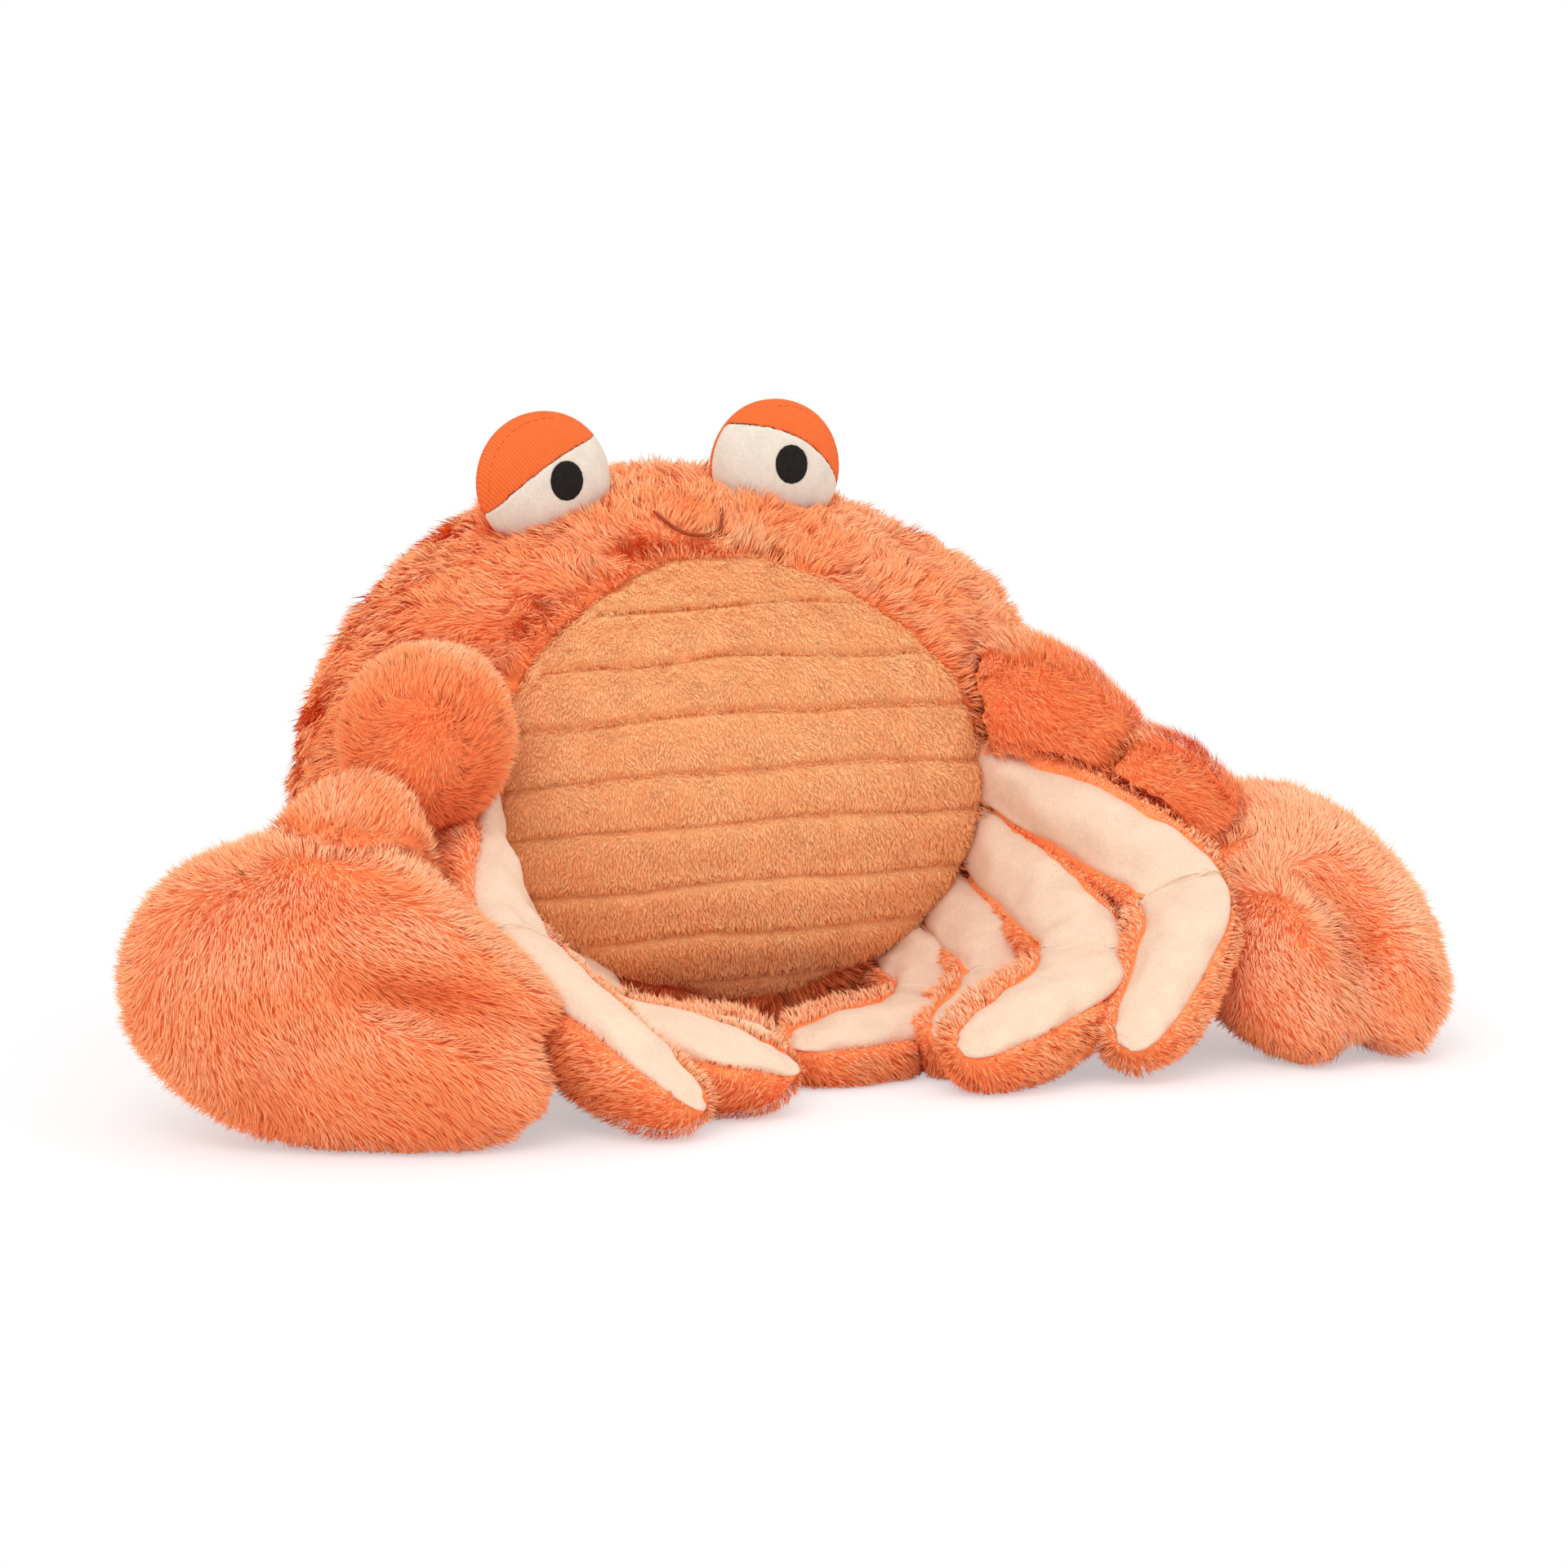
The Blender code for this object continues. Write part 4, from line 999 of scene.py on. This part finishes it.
class CRAB_OT_arms(bpy.types.Operator):
    """Makes the arms and claws with their smooth, combed pile"""
    bl_idname = "crab.arms"
    bl_label = "Arms and claws"

    def execute(self, context):
        pile = context.scene.crab_pile
        seed = 40
        for name, (centre, axis) in ARM_FRAMES.items():
            seed += 1
            skin = voxel_copy(f"{name}_skin", name, LIMB_VOXEL, 3)
            side = name.split("_")[0]
            joined = f"{side}_claw" if name.endswith("forearm") else f"{side}_forearm"
            touch = draw_in(skin, (name,), LIMB_INSET - ARM_SEAM_EASE * beside_seam(skin, joined))
            plump(skin, 2.0, 0.0008)
            padded_skin(skin, name, backing_material())
            nose = np.array(centre) + unit(np.array(axis)) * ARM_NOSE
            target = points_of(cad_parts[joined]).mean(axis=0)

            def flow(points, facing, nose=nose, target=target):
                return combed_round(points, facing, nose, target - points)

            def length(points, facing):
                return np.full(len(points), pile.arm_length)

            def painted_light_and_tone(points, facing, nose=nose):
                # Darker at the middle of the limb's full side and paler towards its rims and back, and
                # where it faces up: painted light at the rims and from above
                away = np.linalg.norm(points - nose, axis=1)
                return 0.14 + 0.34 * ramp(away, 0.026, 0.070) + 0.12 * facing[:, 2]

            grow_pile(f"{name}_pile", skin, touch, dict(ARM_PILE, density=pile.density), flow, length, painted_light_and_tone,
                      long_pile_material(), seed)
        for side in SIDES:
            seed += 1
            long_axis = unit(np.array(CLAW_AXES[side]))
            skin = voxel_copy(f"{side}_claw_skin", f"{side}_claw", LIMB_VOXEL, 2)
            inset = LIMB_INSET - CLAW_SEAM_EASE * beside_seam(skin, f"{side}_forearm")
            touch = draw_in(skin, (f"{side}_claw",), inset)
            plump(skin, 2.0, 0.0008)
            wrist = np.array(ARM_FRAMES[f"{side}_forearm"][0])
            co, normals = points_of(skin), normals_of(skin)
            away, _, _ = distance_to_line(co, CLAW_CREASES[side])
            co = co - normals * (CLAW_CREASE_DEPTH * bell(away, CLAW_CREASE_WIDTH))[:, None]
            if side == "left":
                lean = unit(np.array(CLAW_CORNER))
                reach = co @ lean
                extra = np.maximum(reach - reach.max() + CLAW_CORNER_DEPTH, 0.0)
                co = co - lean * (CLAW_CORNER_SLACK * extra * ramp(extra, 0.0, 0.006))[:, None]
            set_points(skin, co)
            padded_skin(skin, f"{side}_claw", backing_material())
            nose = co.mean(axis=0) + np.array(TO_VIEWER) * ARM_NOSE

            def flow(points, facing, wrist=wrist, long_axis=long_axis, nose=nose):
                return combed_round(points, facing, nose, unit(points - wrist) + long_axis * 0.5)

            def length(points, facing):
                return np.full(len(points), pile.claw_length)

            def painted_light_and_tone(points, facing, side=side):
                away, _, _ = distance_to_line(points, CLAW_CREASES[side])
                # Paler where the pile faces up, painted light from above, and darker along the crease,
                # painted shade in it; the left claw is set darker overall than the right
                base = 0.48 if side == "left" else 0.58
                return base + 0.18 * facing[:, 2] - 0.30 * bell(away, 0.0060)

            grow_pile(f"{side}_claw_pile", skin, touch, dict(SMOOTH, density=pile.density * 1.1), flow,
                      length, painted_light_and_tone, long_pile_material(), seed)
        return {"FINISHED"}


def leg_stations(leg):
    """Points along a leg, the ways across and up from it, its shares of width and crown, and its normal."""
    root, knee, tip = (np.array(point) for point in LEG_LINES[leg])
    upper, lower = unit(knee - root), unit(tip - knee)
    start, before, after = root - upper * LEG_ROOT_SINK, knee - upper * LEG_BEND, knee + lower * LEG_BEND
    normal = unit(np.cross(knee - root, tip - knee))
    normal = normal if normal[2] > 0.0 else -normal
    near_seam = KNEE_MARK + np.array((-0.22, -0.11, -0.05, 0.0, 0.05, 0.11, 0.22))
    last_mark = len(LEG_WIDTHS) - 1.0
    steps = np.linspace(0.0, last_mark, LEG_STATIONS)
    steps = np.sort(np.append(steps[np.abs(steps - KNEE_MARK) > 0.25], near_seam))
    first = np.interp(steps, (0, 1, 2, 3), (0.0, 0.35, 0.72, 1.0))[:, None]
    turn = np.clip((steps - 3.0) / 4.0, 0.0, 1.0)[:, None]
    last = np.interp(steps, (7, 8, 9, 10, 11, 12), (0.0, 0.33, 0.64, 0.86, 0.965, 1.0))[:, None]
    straight = start + (before - start) * first
    curve = (1 - turn) ** 2 * before + 2 * turn * (1 - turn) * knee + turn ** 2 * after
    path = np.where(steps[:, None] <= 3.0, straight, np.where(steps[:, None] <= 7.0, curve,
                                                              after + (tip - after) * last))
    outer = -unit(unit(root - knee) + unit(tip - knee))
    bow = LEG_BOW * np.sin(math.pi * np.clip((steps - KNEE_MARK) / (last_mark - KNEE_MARK), 0.0, 1.0))
    path = path + outer * bow[:, None]
    along = unit(np.gradient(path, axis=0))
    across = unit(np.cross(normal, along))
    rim = np.array(LEG_RIMS[leg])
    rim = np.where((across @ rim)[:, None] < 0.0, -rim, rim)
    twist = np.interp(steps, range(6), (1.0, 0.9, 0.6, 0.3, 0.1, 0.0))[:, None]
    across = across * (1.0 - twist) + rim * twist
    across = unit(across - along * np.sum(across * along, axis=1, keepdims=True))
    up = np.cross(along, across)
    wide = np.interp(steps, range(len(LEG_WIDTHS)), LEG_WIDTHS)
    high = np.interp(steps, range(len(LEG_CROWNS)), LEG_CROWNS)
    for shares in (wide, high):
        shares[1:-1] = 0.25 * shares[:-2] + 0.5 * shares[1:-1] + 0.25 * shares[2:]
    return path, across, up, wide, high, normal


def suede_loft(name, leg):
    """A leg's padded face: rings with a full, crowned top and a flat underside in the seam's plane."""
    path, across, up, wide, high, normal = leg_stations(leg)
    turn = np.linspace(0.0, math.pi, SUEDE_SIDES + 1)
    out = np.sign(np.cos(turn)) * np.abs(np.cos(turn)) ** 0.88
    rise = np.sin(turn) ** 0.72
    under = np.linspace(-1.0, 1.0, 5)[1:-1]
    out, rise = np.append(out, under), np.append(rise, np.zeros(3))
    aside = (SUEDE_HALF_WIDTH * wide)[:, None, None] * out[None, :, None]
    crown = (SUEDE_CROWN * high)[:, None, None] * rise[None, :, None] - SUEDE_SINK
    rings = path[:, None, :] + across[:, None, :] * aside + up[:, None, :] * crown
    count, size = rings.shape[:2]
    faces = [(k * size + i, k * size + (i + 1) % size, (k + 1) * size + (i + 1) % size, (k + 1) * size + i)
             for k in range(count - 1) for i in range(size)]
    faces += [tuple(range(size))[::-1], tuple(range((count - 1) * size, count * size))]
    mesh = bpy.data.meshes.new(name)
    mesh.from_pydata(rings.reshape(-1, 3).tolist(), [], faces)
    obj = bpy.data.objects.new(name, mesh)
    bpy.context.scene.collection.objects.link(obj)
    activate(obj)
    bpy.ops.object.mode_set(mode="EDIT")
    bpy.ops.mesh.select_all(action="SELECT")
    bpy.ops.mesh.normals_make_consistent(inside=False)
    bpy.ops.object.mode_set(mode="OBJECT")
    pinned = np.tile(rise < 0.05, count)
    pinned[:3 * size] = True
    pinned[-size:] = True
    return obj, pinned, normal


def beside_face(points, facing, leg):
    """How far points on a leg's back lie outside its smooth face's rim: below 0 under the face."""
    path, across, up, wide, _, _ = leg_stations(leg)
    nearest = np.argmin(np.linalg.norm(points[:, None] - path[None], axis=2), axis=1)
    offset = points - path[nearest]
    aside = np.sum(offset * across[nearest], axis=1)
    above = np.sum(offset * up[nearest], axis=1)
    beyond = np.sqrt(np.maximum(np.sum(offset ** 2, axis=1) - aside ** 2 - above ** 2, 0.0))
    outside = np.maximum(np.abs(aside) - SUEDE_HALF_WIDTH * wide[nearest], beyond - 0.003)
    looks_up = np.sum(facing * up[nearest], axis=1) > 0.3
    return np.where(looks_up, outside, np.maximum(outside, 0.0) + np.maximum(-above, 0.0))


class CRAB_OT_legs(bpy.types.Operator):
    """Makes the legs: furry backs, and padded suede faces pinched at the knee"""
    bl_idname = "crab.legs"
    bl_label = "Legs"

    def execute(self, context):
        pile = context.scene.crab_pile
        cream = tuple(context.scene.crab_colours.suede)
        suede = grained_material("leg_suede", shaded(cream, 0.90), shaded(cream, 1.08), 0.9, 0.3,
                                 0.009, 0.0009, 0.00035)
        barriers = []
        for number, leg in enumerate(LEGS):
            root, knee, tip = (np.array(point) for point in LEG_LINES[leg])
            face, pinned, normal = suede_loft(f"{leg}_suede", leg)
            plump(face, 4.0, 0.0014, pinned=pinned, growth=0.02)
            finish_with(face, "SUBSURF", levels=1, render_levels=1)
            co, normals = points_of(face), normals_of(face)
            halving = unit(unit(knee - root) + unit(tip - knee))
            seam = (co - knee) @ halving
            sharp = KNEE_SEAM_DEPTHS[0 if leg.endswith("_1") else 1]
            dent = sharp * bell(seam, 0.0006) + KNEE_PINCH * bell(seam, 0.0050)
            near = ramp(-np.linalg.norm(co - knee, axis=1), -0.035, -0.025)
            small, large = PUCKERS
            pucker = small * ripple(co, 0.007, number) + large * ripple(co, 0.020, number + 20)
            up = ramp(normals @ normal, 0.0, 0.5)
            set_points(face, co + normals * ((pucker - dent * near) * up)[:, None])
            padded_skin(face, f"{leg}_face", suede)
            barriers.append(search_tree(face))
        for number, leg in enumerate(LEGS):
            line, own = LEG_LINES[leg], (f"{leg}_back", f"{leg}_face")
            normal = leg_stations(leg)[5]
            skin = voxel_copy(f"{leg}_skin", f"{leg}_back", LEG_VOXEL, 2)
            touch = draw_in(skin, own, -0.0004)
            closeness = nearness(points_of(skin), own, CROWDED_REACH)
            crowd = KDTree(len(closeness))
            for index, point in enumerate(points_of(skin)):
                crowd.insert(point, index)
            crowd.balance()
            plump(skin, 1.5, 0.0004)
            padded_skin(skin, f"{leg}_back", backing_material())

            def flow(points, facing, line=line, leg=leg):
                _, way, foot = distance_to_line(points, line)
                open_rim = ramp(beside_face(points, facing, leg), 0.0005, 0.0045)[:, None]
                return (unit(points - foot) - way * 0.25) * (0.20 + 0.80 * open_rim)

            def length(points, facing, closeness=closeness, crowd=crowd, leg=leg):
                close = closeness[[crowd.find(point)[1] for point in points]]
                rim = ramp(beside_face(points, facing, leg), -0.001, 0.005)
                return pile.leg_length * (1.0 - 0.65 * close) * (0.50 + 0.50 * rim)

            def painted_light_and_tone(points, facing, normal=normal):
                # Paler on the leg's upper side and where the pile faces up: painted light from above
                return 0.42 + 0.22 * (facing @ normal) + 0.05 * facing[:, 2]

            def covered(points, facing, leg=leg):
                return beside_face(points, facing, leg) < -0.0004

            grow_pile(f"{leg}_pile", skin, touch, dict(LEG_PILE, density=pile.density * 0.9), flow,
                      length, painted_light_and_tone, long_pile_material(), 60 + number, covered=covered,
                      barriers=barriers, own=(f"{leg}_face",))
        return {"FINISHED"}


class CRAB_OT_stage(bpy.types.Operator):
    """Sets the pale floor, the soft lamps and the camera"""
    bl_idname = "crab.stage"
    bl_label = "Stage"

    def execute(self, context):
        scene = context.scene
        deselect()
        bpy.ops.mesh.primitive_plane_add(size=12.0, location=(0.0, 0.0, 0.0))
        floor = context.object
        floor.name = "floor"
        paper = bpy.data.materials.new("pale_paper")
        paper.use_nodes = True
        tree = paper.node_tree
        shader = tree.nodes["Principled BSDF"]
        shader.inputs["Roughness"].default_value = 1.0
        shader.inputs["Specular IOR Level"].default_value = 0.0
        speckle = node(tree, "ShaderNodeTexNoise", scale=40.0)
        place = node(tree, "ShaderNodeTexCoord")
        shades = colour_ramp(tree, ((0.0, (0.93, 0.93, 0.93, 1)), (1.0, (0.95, 0.95, 0.95, 1))))
        wire(tree, place, "Object", speckle, "Vector")
        wire(tree, speckle, "Fac", shades, "Fac")
        wire(tree, shades, "Color", shader, "Base Color")
        white = node(tree, "ShaderNodeEmission", strength=1.0)
        white.inputs["Color"].default_value = (1.0, 1.0, 1.0, 1.0)
        seen = node(tree, "ShaderNodeLightPath")
        middle = node(tree, "ShaderNodeVectorMath", operation="LENGTH")
        fade = node(tree, "ShaderNodeMapRange", interpolation_type="SMOOTHSTEP")
        fade.inputs["From Min"].default_value = 0.22
        fade.inputs["From Max"].default_value = 0.40
        fade.inputs["To Min"].default_value = 0.45
        both = node(tree, "ShaderNodeMath", operation="MULTIPLY")
        mix = node(tree, "ShaderNodeMixShader")
        wire(tree, place, "Object", middle, 0)
        wire(tree, middle, "Value", fade, "Value")
        wire(tree, fade, "Result", both, 0)
        wire(tree, seen, "Is Camera Ray", both, 1)
        wire(tree, both, 0, mix, "Fac")
        wire(tree, shader, "BSDF", mix, 1)
        wire(tree, white, "Emission", mix, 2)
        wire(tree, mix, "Shader", tree.nodes["Material Output"], "Surface")
        floor.data.materials.append(paper)

        world = bpy.data.worlds.new("studio")
        scene.world = world
        world.use_nodes = True
        tree = world.node_tree
        background = tree.nodes["Background"]
        background.inputs["Color"].default_value = (1.0, 1.0, 1.0, 1.0)
        seen = node(tree, "ShaderNodeLightPath")
        strength = node(tree, "ShaderNodeMix", data_type="FLOAT")
        either = node(tree, "ShaderNodeMath", operation="MAXIMUM")
        wire(tree, seen, "Is Camera Ray", either, 0)
        wire(tree, seen, "Is Glossy Ray", either, 1)
        wire(tree, either, 0, strength, "Factor")
        strength.inputs["A"].default_value = 0.98
        strength.inputs["B"].default_value = 1.0
        wire(tree, strength, "Result", background, "Strength")

        for name, place, size, power in LAMPS:
            deselect()
            bpy.ops.object.light_add(type="AREA", location=place)
            lamp = context.object
            lamp.name = name
            lamp.data.size = size
            lamp.data.energy = power
            aim = (Vector(LAMP_TARGET) - Vector(place)).to_track_quat("-Z", "Y")
            lamp.rotation_mode = "QUATERNION"
            lamp.rotation_quaternion = aim

        yaw, rise = CAMERA_YAW, CAMERA_RISE
        back = Vector((math.sin(yaw) * math.cos(rise), -math.cos(yaw) * math.cos(rise), math.sin(rise)))
        right = Vector((math.cos(yaw), math.sin(yaw), 0.0))
        up = back.cross(right)
        deselect()
        bpy.ops.object.camera_add()
        camera = context.object
        camera.matrix_world = (Matrix.Translation(Vector(CAMERA_TARGET) + back * CAMERA_DISTANCE)
                               @ Matrix((right, up, back)).transposed().to_4x4())
        camera.data.sensor_width = 36.0
        camera.data.lens = CAMERA_LENS
        scene.camera = camera
        scene.view_settings.view_transform = "Standard"
        scene.cycles.diffuse_bounces = 8
        return {"FINISHED"}


class CRAB_PT_panel(bpy.types.Panel):
    bl_label = "Plush Crab"
    bl_idname = "CRAB_PT_panel"
    bl_space_type = "VIEW_3D"
    bl_region_type = "UI"
    bl_category = "Plush Crab"

    def draw(self, context):
        for group in (context.scene.crab_pile, context.scene.crab_colours):
            for name in group.bl_rna.properties.keys():
                if name not in ("rna_type", "name"):
                    self.layout.prop(group, name)
        for step in STEPS:
            self.layout.operator(step.bl_idname)


STEPS = (CRAB_OT_body, CRAB_OT_belly, CRAB_OT_mouth, CRAB_OT_eyes, CRAB_OT_arms, CRAB_OT_legs,
         CRAB_OT_stage)
CLASSES = (CrabPile, CrabColours, *STEPS, CRAB_PT_panel)


def register():
    for each in CLASSES:
        bpy.utils.register_class(each)
    bpy.types.Scene.crab_pile = PointerProperty(type=CrabPile)
    bpy.types.Scene.crab_colours = PointerProperty(type=CrabColours)


def unregister():
    del bpy.types.Scene.crab_colours
    del bpy.types.Scene.crab_pile
    for each in reversed(CLASSES):
        bpy.utils.unregister_class(each)


def main():
    register()
    bpy.ops.crab.body()
    bpy.ops.crab.belly()
    bpy.ops.crab.mouth()
    bpy.ops.crab.eyes()
    bpy.ops.crab.arms()
    bpy.ops.crab.legs()
    bpy.ops.crab.stage()
    deselect()


if __name__ == "__main__":
    main()
